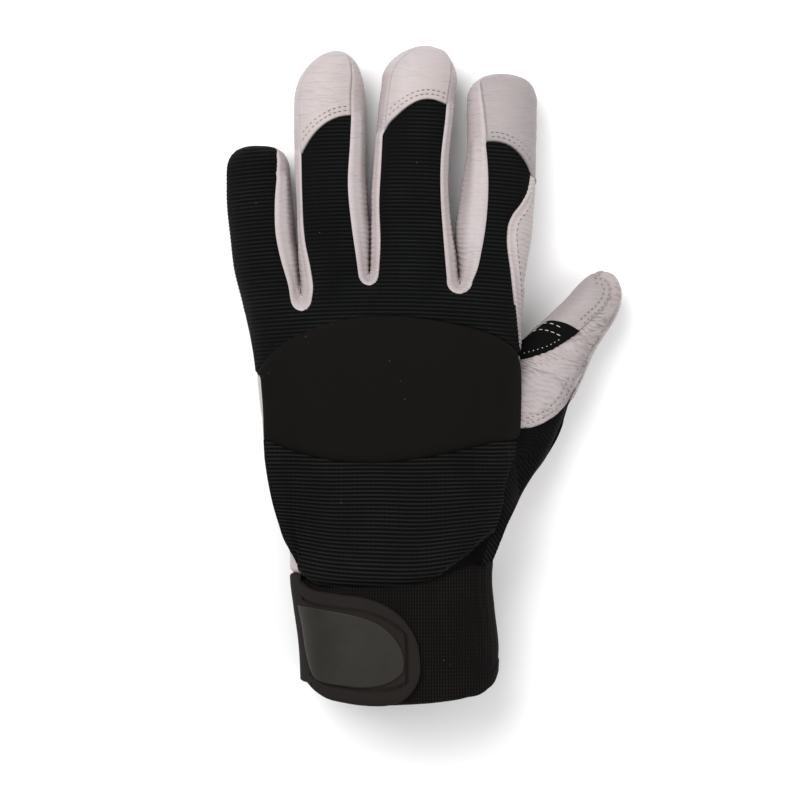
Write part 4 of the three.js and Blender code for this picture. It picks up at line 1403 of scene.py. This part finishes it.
    def side_wall(self, left_border: Callable[[Array], Array]) -> Patch:
        """The palm's turned-up side: half an ellipse from the floor to under the back panels' border.

        Inside the cuff it follows the wrist.

        Args:
            left_border: the back panels' border x for each y.

        Returns:
            The wall's grid, rows along y.
        """
        turn = np.linspace(-0.5, 0.5, 33)[None, :] * np.pi
        y = np.linspace(self.palm_foot, 158.0, 140)[:, None] + 0 * turn
        edge = self.hand.left_edge(y) + 0.65 - 0.5 * smooth_step(y, 108.0, 116.0)
        border = left_border(y) + 1.0
        low = self.hand.bottom(edge + self.round_in(y), y)
        high = self.hand.top(border, y) - 0.9
        wide = np.where(turn < 0, self.round_in(y), border - edge)
        height = mix(low, high, (1 + np.sin(turn)) / 2)
        wall = np.stack([edge + wide * (1 - np.cos(turn)), y, height], axis=-1)
        sunk = -2.6 * (1 - smooth_step(y, 48.8, 52.3)) * np.where(turn < 0, 1.0, 1.6)
        inside = self.hand.body.point(y, np.pi - turn * np.where(turn < 0, 0.8, 0.3), sunk)
        return Patch(mix(inside, wall, smooth_step(y, 52.0, 62.0)[..., None]))

    def palm(self, right_silhouette: Callable[[Array], Array], left_border: Callable[[Array], Array]) -> None:
        """The palm and finger fronts: the lower half of the hand form, flat where it rests.

        Args:
            right_silhouette: the thumb side's outline for each y.
            left_border: the back panels' border at the little-finger side for each y.
        """
        patches = [self.side_wall(left_border)]
        roots = (160.0, 160.0, 166.0, 163.0, 158.0)
        splits = (-29.3, -4.1, 29.9)
        body_right = 53.0
        root_corners = (value_at(self.hand.left_edge, 160.0), *splits, 54.6)
        for place, name in enumerate(FINGER_TIPS):
            tube = self.hand.fingers[name]
            angle = np.linspace(np.pi, 2 * np.pi, 31)[None, :]
            share = (1 + power_cos(angle, tube.squareness)) / 2
            root_y = mix(roots[place], roots[place + 1], share)
            root_x = mix(root_corners[place], root_corners[place + 1], share)
            across = (root_x - root_corners[0]) / (root_corners[-1] - root_corners[0])
            along = np.linspace(0.0, 1.0, 110)[:, None]
            y = mix(self.palm_foot, root_y, along)
            thenar = right_silhouette(y) - 0.4
            keep = smooth_step(y, 103.0, 124.0)
            right = mix(thenar, body_right, keep)
            right = mix(right, root_corners[-1], smooth_step(y, 140.0, 158.0))
            turned_up = (self.round_in(y) - 0.5) * (1 - smooth_step(y, 152.0, 158.0))
            wide = mix(self.hand.left_edge(y) + turned_up, right, across)
            x = wide + (root_x - wide[-1:]) * smooth_step(along, 0.7, 1.0)
            near_side = np.clip(1 - (right - x) / 14.0, 0.0, 1.0)
            rim = mix(20.0, 15.0, smooth_step(y, 60.0, 95.0)) * (1 - keep)
            z = np.maximum(self.hand.bottom(x, y), rim * (1 - np.sqrt(1 - near_side**2)))
            z = np.maximum(z, mix(self.hand.body.bottom(x, y) + 1.2, z, smooth_step(y, 50.0, 62.0)))
            patches.append(Patch(np.stack([x, y, z], axis=-1), flip=True))
            steps = np.linspace(0.0, 1.0, 100)[:, None]
            reach = mix(steps, np.sin(steps * np.pi / 2), 0.8)
            y = root_y + (tube.tip - root_y) * reach
            front = tube.point(y, angle)
            start = np.clip(1 - steps * 5.0, 0.0, 1.0) ** 2
            x = front[..., 0] + (root_x - front[0:1, :, 0]) * start
            if name == "index":
                beside_panel = 1 - smooth_step(y, 196.8, 199.0)
                x = x - 0.8 * beside_panel * smooth_step(angle, 1.6 * np.pi, 1.9 * np.pi)
            z = np.where(y < 176.0, self.hand.bottom(x, y), front[..., 2])
            z = np.maximum(mix(z, front[..., 2], smooth_step(y, 168.0, 176.0)), self.hand.FLOOR)
            patches.append(Patch(np.stack([x, y, z], axis=-1), flip=True))
        wrinkled = []
        for patch in patches:
            x, y, z = np.moveaxis(patch.points, -1, 0)
            off_floor = smooth_step(z, 0.2, 3.0)
            wrinkled.append(patch.displaced((soft_noise(x, y, 12.0, 50) * 0.12) * off_floor))
        self.shop.build("palm_leather", wrinkled, self.finishes.leather, "white_leather", ["palm_leather"],
                        self.wall, 0.25)


@dataclass
class ThumbLeather:
    """The thumb: a full sleeve for its back panel, with the front panel and the patch laid over it."""

    hand: HandForm
    shop: Workshop
    finishes: Finishes
    right_silhouette: Callable[[Array], Array]
    wall: float = 1.1
    under_start: float = 14.0
    hem: tuple[tuple[float, float], ...] = (
        (50.9, 104.8), (53.3, 105.1), (56.6, 105.2), (60.8, 106.7), (65.0, 109.4), (69.3, 113.6),
        (71.9, 117.4), (73.6, 121.1), (75.0, 124.5),
    )
    seam: tuple[tuple[float, float], ...] = (
        (53.1, 130.5), (58.8, 132.2), (64.2, 134.2), (68.9, 136.9), (73.3, 139.9), (76.6, 142.9),
        (80.6, 146.7), (84.2, 150.1), (86.6, 153.9), (87.3, 157.7), (86.3, 160.6), (83.4, 162.3),
        (79.8, 162.2),
    )
    patch_top: tuple[tuple[float, float], ...] = ((56.5, 139.9), (59.8, 142.6), (64.1, 145.5), (69.4, 145.0))
    folds: tuple[tuple[tuple[float, float], ...], ...] = (
        ((54.0, 128.5), (61.0, 127.4), (67.0, 125.2), (71.5, 121.4), (76.0, 117.0)),
        ((54.0, 126.4), (61.0, 125.4), (66.5, 123.2), (70.8, 119.8), (75.0, 115.4)),
    )

    def sleeve(self) -> None:
        """The back panel: a closed sleeve from the hem to the tip, with a raised raw edge over the gusset."""
        thumb = self.hand.thumb
        hem = np.array(self.hem)
        along, across = thumb.locate(hem[:, 0], hem[:, 1])
        angles = thumb.angle(along, across)
        order = np.argsort(angles)
        angle = np.linspace(0.0, 2 * np.pi, 120, endpoint=False)[None, :]
        upper = np.interp(angle, angles[order], along[order])
        lower_start = float(along[order][0])
        under = smooth_step(angle, np.pi, 1.4 * np.pi) * (1 - smooth_step(angle, 1.86 * np.pi, 1.98 * np.pi))
        closing = mix(along[order][-1], lower_start, (angle - np.pi) / np.pi)
        start = mix(np.where(angle > np.pi, closing, upper), self.under_start, under)
        steps = np.concatenate([np.linspace(0.0, 0.06, 12)[:-1], np.linspace(0.06, 1.0, 150)])[:, None]
        reach = mix(steps, np.sin(steps * np.pi / 2), 0.7)
        place = start + (thumb.length - start) * reach
        from_hem = place - start
        points = thumb.point(place, angle)
        outline = self.right_silhouette(points[..., 1]) - 0.5
        behind = (points[..., 1] < 117.0) & (angle > 1.5 * np.pi)
        points[..., 0] = np.where(behind, np.minimum(points[..., 0], outline), points[..., 0])
        low = points[..., 2] < self.hand.FLOOR + 0.3
        points[..., 2] = np.where(low, self.hand.FLOOR + 0.3, points[..., 2])
        x, y = points[..., 0], points[..., 1]
        upper_side = smooth_step(np.sin(angle), 0.05, 0.55)
        raised = 0.75 * smooth_step(from_hem, 0.0, 0.3) * (1 - smooth_step(from_hem, 6.0, 16.0))
        edge = raised * upper_side + 0.1
        ditch = -0.22 * (bell(from_hem, 3.0, 0.4) + bell(from_hem, 5.6, 0.4)) * upper_side
        tilt = x * 0.80 + y * 0.60
        fine = 0.32 * np.sin(2 * np.pi * (y * 0.90 + x * 0.42) / 1.9 + 3.4 * soft_noise(x, y, 10.0, 61))
        fine = fine * (0.75 + 0.5 * soft_noise(x, y, 8.0, 63))
        big = 0.55 * bell(y, line_through(self.folds[0], x), 0.9) * smooth_step(x, 53.0, 60.0)
        big -= 0.45 * bell(y, line_through(self.folds[1], x), 0.7) * smooth_step(x, 54.0, 62.0)
        fold_zone = smooth_step(tilt, 110.0, 118.0) * (1 - smooth_step(tilt, 158.0, 170.0))
        lift = edge + ditch + (fine * fold_zone + big) * upper_side
        tip_fade = 1 - smooth_step(place, thumb.length - 6.0, thumb.length - 1.0)
        patch = Patch(points, flip=True, closed=True).displaced(lift * tip_fade)
        # The sleeve's leather is a darker copy, with painted shade
        self.shop.build("thumb_back", [patch], self.finishes.thumb_shaded_leather, "white_leather", ["thumb_back"],
                        self.wall)

    def overlay(self, name: str, low: Array, high: Array, material: bpy.types.Material, slot: str,
                lift: float) -> None:
        """A panel laid over the sleeve between two plan curves of matching points.

        Args:
            name: the piece's name.
            low: one edge, an array of x, y points.
            high: the other edge.
            material: its finish.
            slot: its record slot.
            lift: its height over the sleeve in millimetres.
        """
        share = np.linspace(0.0, 1.0, 56)[None, :, None]
        plan = mix(low[:, None, :], high[:, None, :], share)
        along, across = self.hand.thumb.locate(plan[..., 0], plan[..., 1])
        angle = self.hand.thumb.angle(along, across)
        points = self.hand.thumb.point(along, angle)
        sides = np.minimum(share[..., 0], 1 - share[..., 0]) * np.linalg.norm(high - low, axis=1)[:, None]
        count = np.arange(len(low))[:, None]
        ends = np.minimum(count, len(low) - 1 - count) * 0.35
        near = np.minimum(sides, ends)
        edge = smooth_step(near, 0.0, 0.5)
        pillow = 0.25 * bell(near, 1.1, 0.7)
        patch = Patch(points, flip=True)
        amount = lift * edge - 0.3 * (1 - edge) + pillow
        self.shop.build(name, [patch.displaced(amount)], material, slot, [name], 0.9)

    def front(self) -> None:
        """The front panel over the thumb's upper side, from the patch to the tip."""
        seam = curve_through(self.seam[4:], 130)
        thumb = self.hand.thumb
        begin, _ = thumb.locate(np.array([57.2]), np.array([141.5]))
        side = np.linspace(float(begin[0]), thumb.length - 0.6, 130)
        left = thumb.point(side, np.full_like(side, np.pi - 0.04))[:, :2]
        # The thumb front takes the darker copy of the leather, with painted shade
        self.overlay("thumb_front", seam, left, self.finishes.index_shaded_leather, "white_leather", 0.55)

    def patch(self) -> None:
        """The black patch at the crotch, from its stitched hem to the seam."""
        low = curve_through((*self.seam[:5], (75.4, 141.6)), 90)
        high = curve_through(((53.1, 137.0), *self.patch_top, (75.6, 141.9)), 90)
        self.overlay("thumb_patch", low, high, self.finishes.patch_cloth, "black_synthetic", 1.0)


def curve_through(points: Sequence[Sequence[float]], count: int) -> Array:
    """A smooth plan curve through points, at even steps of its length.

    Args:
        points: x, y corners.
        count: how many points to return.

    Returns:
        An array of count x, y points.
    """
    corners = np.array(points, float)
    knots = np.concatenate([[0.0], np.cumsum(np.linalg.norm(np.diff(corners, axis=0), axis=1))])
    at = np.linspace(0.0, knots[-1], count)
    return np.stack([smooth_line(at, knots, corners[:, 0]), smooth_line(at, knots, corners[:, 1])], axis=-1)


@dataclass
class Wrist:
    """The elastic cuff, the hook-and-loop tab with its bound edge, and the bare badge."""

    hand: HandForm
    shop: Workshop
    finishes: Finishes
    cuff_wall: float = 2.0
    strap_lift: float = 0.5
    strap_wall: float = 1.9
    side_draw: float = 3.4
    upper_edge: tuple[tuple[float, float], ...] = (
        (-31.9, 51.5), (-28.6, 46.8), (-16.3, 43.6), (-6.2, 42.3), (3.9, 38.4), (9.8, 33.2), (13.6, 26.6),
        (15.2, 19.2),
    )
    lower_edge: tuple[tuple[float, float], ...] = (
        (-29.4, 12.4), (-27.2, 9.8), (-24.6, 7.2), (-20.8, 4.8), (-12.7, 2.9), (-3.7, 2.0), (3.5, 2.3),
        (8.4, 3.8), (11.8, 6.6), (14.6, 11.8), (15.2, 19.2),
    )
    badge_outline: tuple[tuple[float, float], ...] = (
        (-31.2, 39.2), (-30.0, 39.0), (-23.5, 38.2), (-17.0, 37.2), (-10.5, 36.1), (-5.2, 34.7), (0.3, 32.3),
        (5.1, 28.1), (8.4, 22.7), (9.3, 17.6), (8.6, 14.4), (6.1, 12.0), (0.7, 9.6), (-6.4, 8.7),
        (-15.2, 9.5), (-21.0, 10.4), (-23.6, 11.4), (-25.3, 13.4), (-26.6, 17.0), (-28.2, 23.0),
        (-29.4, 30.6),
    )

    def draw(self, angle: Array) -> Array:
        """How far the tab is drawn in at the little-finger side, where it turns under the wrist."""
        return self.side_draw * bell(angle, np.pi, 0.7)

    def angle_at(self, x: Array, y: Array, lift: Array) -> Array:
        """The angle whose point, lifted and drawn in, lies at x, found by repeated closer guesses."""
        tube = self.hand.body
        cx, hw, _, _ = tube.section(y)
        angle = tube.angle(x, y)
        for _ in range(5):
            ratio = np.clip((x - cx) / (hw + lift - self.draw(angle)), -1.0, 1.0)
            angle = np.arccos(np.sign(ratio) * np.abs(ratio) ** (tube.squareness / 2))
        return angle

    def cuff(self) -> None:
        """The cuff: a ring round the wrist from its bowed hem to the seam under the lower back's fold."""
        tube = self.hand.body
        angle = np.linspace(0.0, 2 * np.pi, 220, endpoint=False)[None, :]
        x = tube.point(np.full(angle.shape, 24.0), angle)[..., 0]
        low = line_y("cuff_hem", x)
        high = line_y("cuff_top", x) + 2.0
        along = np.concatenate([np.linspace(0.0, 0.08, 10)[:-1], np.linspace(0.08, 1.0, 90)])[:, None]
        y = mix(low, high, along)
        points = tube.point(y, angle)
        from_hem = y - low
        hem = 0.35 * smooth_step(from_hem, 0.0, 0.8) * (1 - smooth_step(from_hem, 5.2, 5.8))
        band = 0.10 * np.sin(34.0 * angle) * smooth_step(from_hem, 6.0, 10.0)
        slump = soft_noise(x + 0 * y, y, 24.0, 71) * 0.35 * smooth_step(from_hem, 1.0, 8.0)
        over_seam = y - line_y("cuff_top", x)
        squeeze = -0.9 * smooth_step(over_seam, -4.0, 1.0) - 1.3 * smooth_step(over_seam, -0.3, 0.6)
        rolled = -0.9 * (1 - smooth_step(from_hem, 0.0, 0.7))
        lift = hem + band + slump * 0.6 + squeeze + rolled - 0.75 * self.draw(angle)
        patch = Patch(points, flip=True, closed=True).displaced(lift)
        self.shop.build("cuff", [patch], self.finishes.cuff_elastic, "cuff_elastic", ["cuff"], self.cuff_wall)

    def around(self, edge: Sequence[Sequence[float]], count: int, under_y: float) -> Array:
        """A tab edge as angle and y: from the underside, round the little-finger side and over the back."""
        plan = curve_through(edge, count)
        angle = self.angle_at(plan[:, 0], plan[:, 1], self.strap_lift + self.strap_wall / 2)
        low = np.linspace(np.pi * 1.47, angle[0] + 0.1, count // 2)
        under = np.stack([low, mix(under_y, plan[0, 1], smooth_step(low, np.pi * 1.35, angle[0]))], axis=-1)
        return np.concatenate([under, np.stack([angle, plan[:, 1]], axis=-1)])

    def tab_surface(self, angle: Array, y: Array, lift: Array) -> Array:
        """A point over the cuff, lifted and drawn in."""
        return self.hand.body.point(y, angle, lift - self.draw(angle))

    def strap(self) -> None:
        """The tab: rows across between its two edges, crowned, with a groove inside its bound edge."""
        count = 110
        upper = self.around(self.upper_edge, count, 46.0)
        lower = self.around(self.lower_edge, count, 12.0)
        share = np.linspace(0.0, 1.0, 56)[None, :]
        share = mix(share, (1 - np.cos(np.pi * share)) / 2, 0.8)
        angle = mix(lower[:, :1], upper[:, :1], share)
        y = mix(lower[:, 1:], upper[:, 1:], share)
        base = self.tab_surface(angle, y, 0 * angle + self.strap_lift)
        width = np.abs(upper[:, 1:] - lower[:, 1:])
        step = np.linalg.norm(np.diff(base[:, 28], axis=0), axis=-1)
        to_end = np.concatenate([np.cumsum(step[::-1])[::-1], [0.0]])[:, None]
        from_start = to_end[0] - to_end
        edge = np.minimum(np.minimum(share, 1 - share) * width, np.minimum(to_end * 1.15, from_start + 0.2))
        rounded = self.strap_wall * quarter_circle(edge / 1.8)
        groove = -1.6 * bell(edge, 5.7, 0.5)
        inner = -0.15 * smooth_step(edge, 4.6, 6.0)
        lift = self.strap_lift + rounded + groove + inner
        points = self.tab_surface(angle, y, lift)
        self.shop.build("strap", [Patch(points, flip=True)], self.finishes.strap_cloth, "strap_fabric",
                        ["strap"], 1.1)

    def under_layer(self) -> None:
        """The tab's second layer, a band round the little-finger side that shows beyond the tab there."""
        angle = np.linspace(1.42, 0.84, 60)[:, None] * np.pi
        share = np.linspace(0.0, 1.0, 60)[None, :]
        y = mix(10.0, 50.6, share) + 0 * angle
        edge = np.minimum(share, 1 - share) * 40.0
        lift = -0.9 + quarter_circle(edge / 0.9)
        points = self.hand.body.point(y, angle, lift)
        self.shop.build("strap_under_layer", [Patch(points, flip=True)], self.finishes.strap_cloth,
                        "strap_fabric", (), 0.6)

    def badge(self) -> None:
        """The badge: rings from its middle to its outline, flat on top with a rounded edge."""
        outline = curve_through((*self.badge_outline, self.badge_outline[0]), 181)[:-1]
        middle = np.array([-10.5, 23.5])
        outer = 1 - 0.1 * np.cos(np.linspace(0.1, 1.0, 10) * np.pi / 2)
        rings = np.concatenate([np.linspace(0.0, 0.9, 24), outer, [1.0]])[:, None, None]
        plan = middle + (outline[None] - middle) * rings
        x, y = plan[..., 0], plan[..., 1]
        edge = (1 - rings[..., 0]) * np.linalg.norm(outline - middle, axis=1)
        lift = self.strap_lift + self.strap_wall + 0.6 * quarter_circle(edge / 0.7) - 0.2
        angle = self.angle_at(x, y, lift)
        points = self.tab_surface(angle, y, lift)
        patch = Patch(points, closed=True)
        self.shop.build("badge", [patch], self.finishes.badge_rubber, "badge_rubber", ["badge"], 0.9)


@dataclass
class Seamstress:
    """Sews rows of stitches: each stitch is a small lens on the surface, joined into one mesh a row."""

    hand: HandForm
    shop: Workshop
    finishes: Finishes
    sides: int = 6
    rings: int = 5

    def row(
        self,
        name: str,
        plan: Array,
        lift: float,
        material: bpy.types.Material,
        slot: str,
        pitch: float = 2.3,
        fill: float = 0.66,
        radius: float = 0.26,
        height: Optional[Callable[[Array, Array], Array]] = None,
    ) -> None:
        """Sews along a plan line.

        Args:
            name: the row's name.
            plan: the line, an array of x, y points.
            lift: the thread's height over the hand form in millimetres.
            material: the thread.
            slot: its record slot.
            pitch: distance from stitch to stitch.
            fill: the part of the pitch that shows thread.
            radius: half the thread's thickness.
            height: the surface's height at x, y, or None for the hand form.
        """
        surface = height or (lambda x, y: self.hand.top(x, y, True))
        length = np.concatenate([[0.0], np.cumsum(np.linalg.norm(np.diff(plan, axis=0), axis=1))])
        count = max(int(length[-1] / pitch), 1)
        middles = (np.arange(count) + 0.5) * length[-1] / count
        wobble = hash_noise(len(name), count) * 0.12
        at = np.stack([np.interp(middles + wobble, length, plan[:, k]) for k in (0, 1)], axis=-1)
        ahead = np.stack([np.interp(middles + 0.4, length, plan[:, k]) for k in (0, 1)], axis=-1)
        behind = np.stack([np.interp(middles - 0.4, length, plan[:, k]) for k in (0, 1)], axis=-1)
        foot = np.concatenate([behind, surface(behind[:, 0], behind[:, 1])[:, None]], axis=1)
        head = np.concatenate([ahead, surface(ahead[:, 0], ahead[:, 1])[:, None]], axis=1)
        along = head - foot
        along /= np.linalg.norm(along, axis=1, keepdims=True)
        beside = np.stack([at[:, 0] + along[:, 1] * 0.3, at[:, 1] - along[:, 0] * 0.3], axis=-1)
        centre = np.concatenate([at, surface(at[:, 0], at[:, 1])[:, None]], axis=1)
        side = np.concatenate([beside, surface(beside[:, 0], beside[:, 1])[:, None]], axis=1) - centre
        side /= np.linalg.norm(side, axis=1, keepdims=True)
        out = np.cross(side, along)
        out *= np.sign(out[:, 2:3])
        centre += out * lift
        u = np.linspace(-1.0, 1.0, self.rings)
        v = np.linspace(0.0, 2 * np.pi, self.sides, endpoint=False)
        girth = np.sqrt(np.maximum(1 - u**2 * 0.97, 0.0))
        half = length[-1] / count * fill / 2
        local = (
            u[None, :, None, None] * half * along[:, None, None, :]
            + (girth[:, None] * np.cos(v))[None, :, :, None] * radius * side[:, None, None, :]
            + (girth[:, None] * np.sin(v))[None, :, :, None] * radius * out[:, None, None, :]
        )
        points = centre[:, None, None, :] + local
        self.shop.build(name, [Patch(p, flip=True, closed=True) for p in points], material, slot)


class GloveStitching:
    """The rows of stitches that show."""

    def __init__(self, seamstress: Seamstress, fingers: FingerLeather, thumb: ThumbLeather) -> None:
        """Keeps the maker and the leather panels, whose seams it follows."""
        self.maker = seamstress
        self.fingers = fingers
        self.thumb = thumb

    def offset(self, line: Array, distance: float) -> Array:
        """A plan line moved to its left by a distance."""
        step = np.gradient(line, axis=0)
        step /= np.linalg.norm(step, axis=1, keepdims=True)
        return line + np.stack([-step[:, 1], step[:, 0]], axis=-1) * distance

    def sew(self) -> None:
        """Sews every row."""
        finishes = self.maker.finishes
        grey = finishes.leather_thread
        for finger in ("ring", "middle", "index"):
            hem = curve_through(SEAMS[f"{finger}_cap"], 80)
            for number, gap in enumerate((1.9, 3.5)):
                line = self.offset(hem, gap)[2:-2]
                place = self.maker.hand.fingers[finger].angle(line[:, 0], line[:, 1])
                left = self.fingers.side_angle(finger, "left", line[:, 1])
                right = self.fingers.side_angle(finger, "right", line[:, 1])
                line = line[(place < left - 0.10) & (place > right + 0.10)]
                self.maker.row(f"{finger}_cap_stitches_{number}", line, 0.34, grey, "white_leather", 1.9,
                               0.66, 0.24)
        lap = np.array([(57.4, 191.6), (55.0, 186.8), (52.2, 182.8), (51.2, 177.5), (51.5, 172.6),
                        (52.3, 164.0), (53.1, 154.0)])
        self.maker.row("index_side_stitches", curve_through(lap, 80), 0.50, grey, "white_leather", 2.0, 0.64,
                       0.24)
        seam = curve_through(self.thumb.seam[5:], 120)
        for number, gap in enumerate((1.1, 2.9)):
            line = self.offset(seam, gap)[4:-4]
            self.maker.row(f"thumb_front_stitches_{number}", line, 0.85 - 0.15 * number, grey,
                           "white_leather", 1.7, 0.6, 0.2, self.maker.hand.thumb.top)
        hem = curve_through(self.thumb.hem[1:], 60)
        for number, gap in enumerate((1.9, 3.9)):
            line = self.offset(hem, gap)[2:-2]
            self.maker.row(f"thumb_hem_stitches_{number}", line, 0.80, grey, "white_leather", 2.0, 0.6, 0.2,
                           self.maker.hand.thumb.top)
        pale = finishes.pale_thread
        rows = (
            ((59.6, 142.7), (61.2, 143.6), (63.4, 144.0), (66.6, 143.4), (68.6, 142.4)),
            ((58.2, 140.7), (60.0, 141.4), (63.4, 141.3), (66.2, 140.4), (68.4, 139.4)),
        )
        for number, corners in enumerate(rows):
            self.maker.row(f"thumb_patch_stitches_{number}", curve_through(corners, 40), 1.45, pale,
                           "black_synthetic", 2.1, 0.82, 0.2, self.maker.hand.thumb.top)
        low = self.offset(curve_through(self.thumb.seam[:4], 60), 1.8)
        self.maker.row("thumb_patch_edge_stitches", low[6:], 1.35, pale, "black_synthetic", 1.6, 0.34, 0.17,
                       self.maker.hand.thumb.top)


class Studio:
    """The camera over the glove, soft lights and a pale floor."""

    PIXEL = 250.0 / 661.0
    FRAME_PIXELS = 800
    DISTANCE = 1500.0
    FOCUS_HEIGHT = 18.0
    SENSOR = 36.0

    def __init__(self, shop: Workshop) -> None:
        """Keeps the frame's place."""
        self.shop = shop

    def camera(self) -> None:
        """A camera straight above, framed as the photograph is."""
        data = bpy.data.cameras.new("camera")
        data.sensor_width = self.SENSOR
        data.lens = self.SENSOR * self.DISTANCE / (self.FRAME_PIXELS * self.PIXEL)
        data.clip_end = 10.0
        camera = bpy.data.objects.new("camera", data)
        place = np.array([20.0 * self.PIXEL, 306.0 * self.PIXEL, self.FOCUS_HEIGHT + self.DISTANCE])
        camera.location = self.shop.to_frame(place)
        bpy.context.scene.collection.objects.link(camera)
        bpy.context.scene.camera = camera

    def light(self, name: str, place: tuple[float, float, float], size: float, power: float) -> None:
        """A square soft light aimed at the middle of the glove."""
        data = bpy.data.lights.new(name, "AREA")
        data.size = size
        data.energy = power
        lamp = bpy.data.objects.new(name, data)
        lamp.location = place
        bpy.context.scene.collection.objects.link(lamp)
        direction = -lamp.location.normalized()
        lamp.rotation_euler = direction.to_track_quat("-Z", "Y").to_euler()

    def floor(self) -> None:
        """A plain pale floor under the glove."""
        mesh = bpy.data.meshes.new("floor")
        half = 3.0
        mesh.from_pydata([(-half, -half, 0), (half, -half, 0), (half, half, 0), (-half, half, 0)], [],
                         [(0, 1, 2, 3)])
        shader = Shader("floor paper")
        speck = shader.noise(shader.scaled(0.01, 0.01, 0.01))
        shader.finish(shader.blend(speck * 0.1, (0.90, 0.90, 0.90), (0.86, 0.86, 0.86)), 0.9, None)
        mesh.materials.append(shader.material)
        floor = bpy.data.objects.new("floor", mesh)
        bpy.context.scene.collection.objects.link(floor)

    def set_up(self) -> None:
        """Camera, floor, lights and a soft surround."""
        self.camera()
        self.floor()
        self.light("key", (-0.55, 0.65, 1.15), 1.1, 20.5)
        self.light("fill", (0.8, -0.2, 1.1), 0.9, 6.5)
        world = bpy.data.worlds.new("studio")
        world.use_nodes = True
        world.node_tree.nodes["Background"].inputs["Color"].default_value = (1.0, 1.0, 1.0, 1.0)
        world.node_tree.nodes["Background"].inputs["Strength"].default_value = 0.66
        bpy.context.scene.world = world
        bpy.context.scene.view_settings.view_transform = "Standard"


BADGE_RIGHT = 9.3
LONGEST_TIP = 250.4


def main() -> None:
    """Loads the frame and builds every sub-assembly."""
    logging.basicConfig(level=logging.INFO, format="%(message)s")
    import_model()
    shift = np.array([
        BADGE_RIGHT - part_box("badge")[1][0] / MM,
        LONGEST_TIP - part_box("middle_cap")[1][1] / MM,
        0.0,
    ])
    shop = Workshop(shift)
    Studio(shop).set_up()
    hand = HandForm()
    finishes = Finishes()
    back = BackPanels(hand, shop, finishes)
    back.upper_back()
    back.knuckle_pad()
    back.lower_back()
    back.side_gusset()
    leather = FingerLeather(hand, shop, finishes)
    for crotch in range(len(CROTCHES)):
        leather.web(crotch)
    leather.cap("ring", 0.12)
    leather.cap("middle", 0.12)
    leather.cap("index", 0.55)
    leather.index_side()
    leather.palm(back.right_silhouette, back.left_border)
    thumb = ThumbLeather(hand, shop, finishes, back.right_silhouette)
    thumb.sleeve()
    thumb.front()
    thumb.patch()
    wrist = Wrist(hand, shop, finishes)
    wrist.cuff()
    wrist.strap()
    wrist.under_layer()
    wrist.badge()
    GloveStitching(Seamstress(hand, shop, finishes), leather, thumb).sew()


if __name__ == "__main__":
    main()
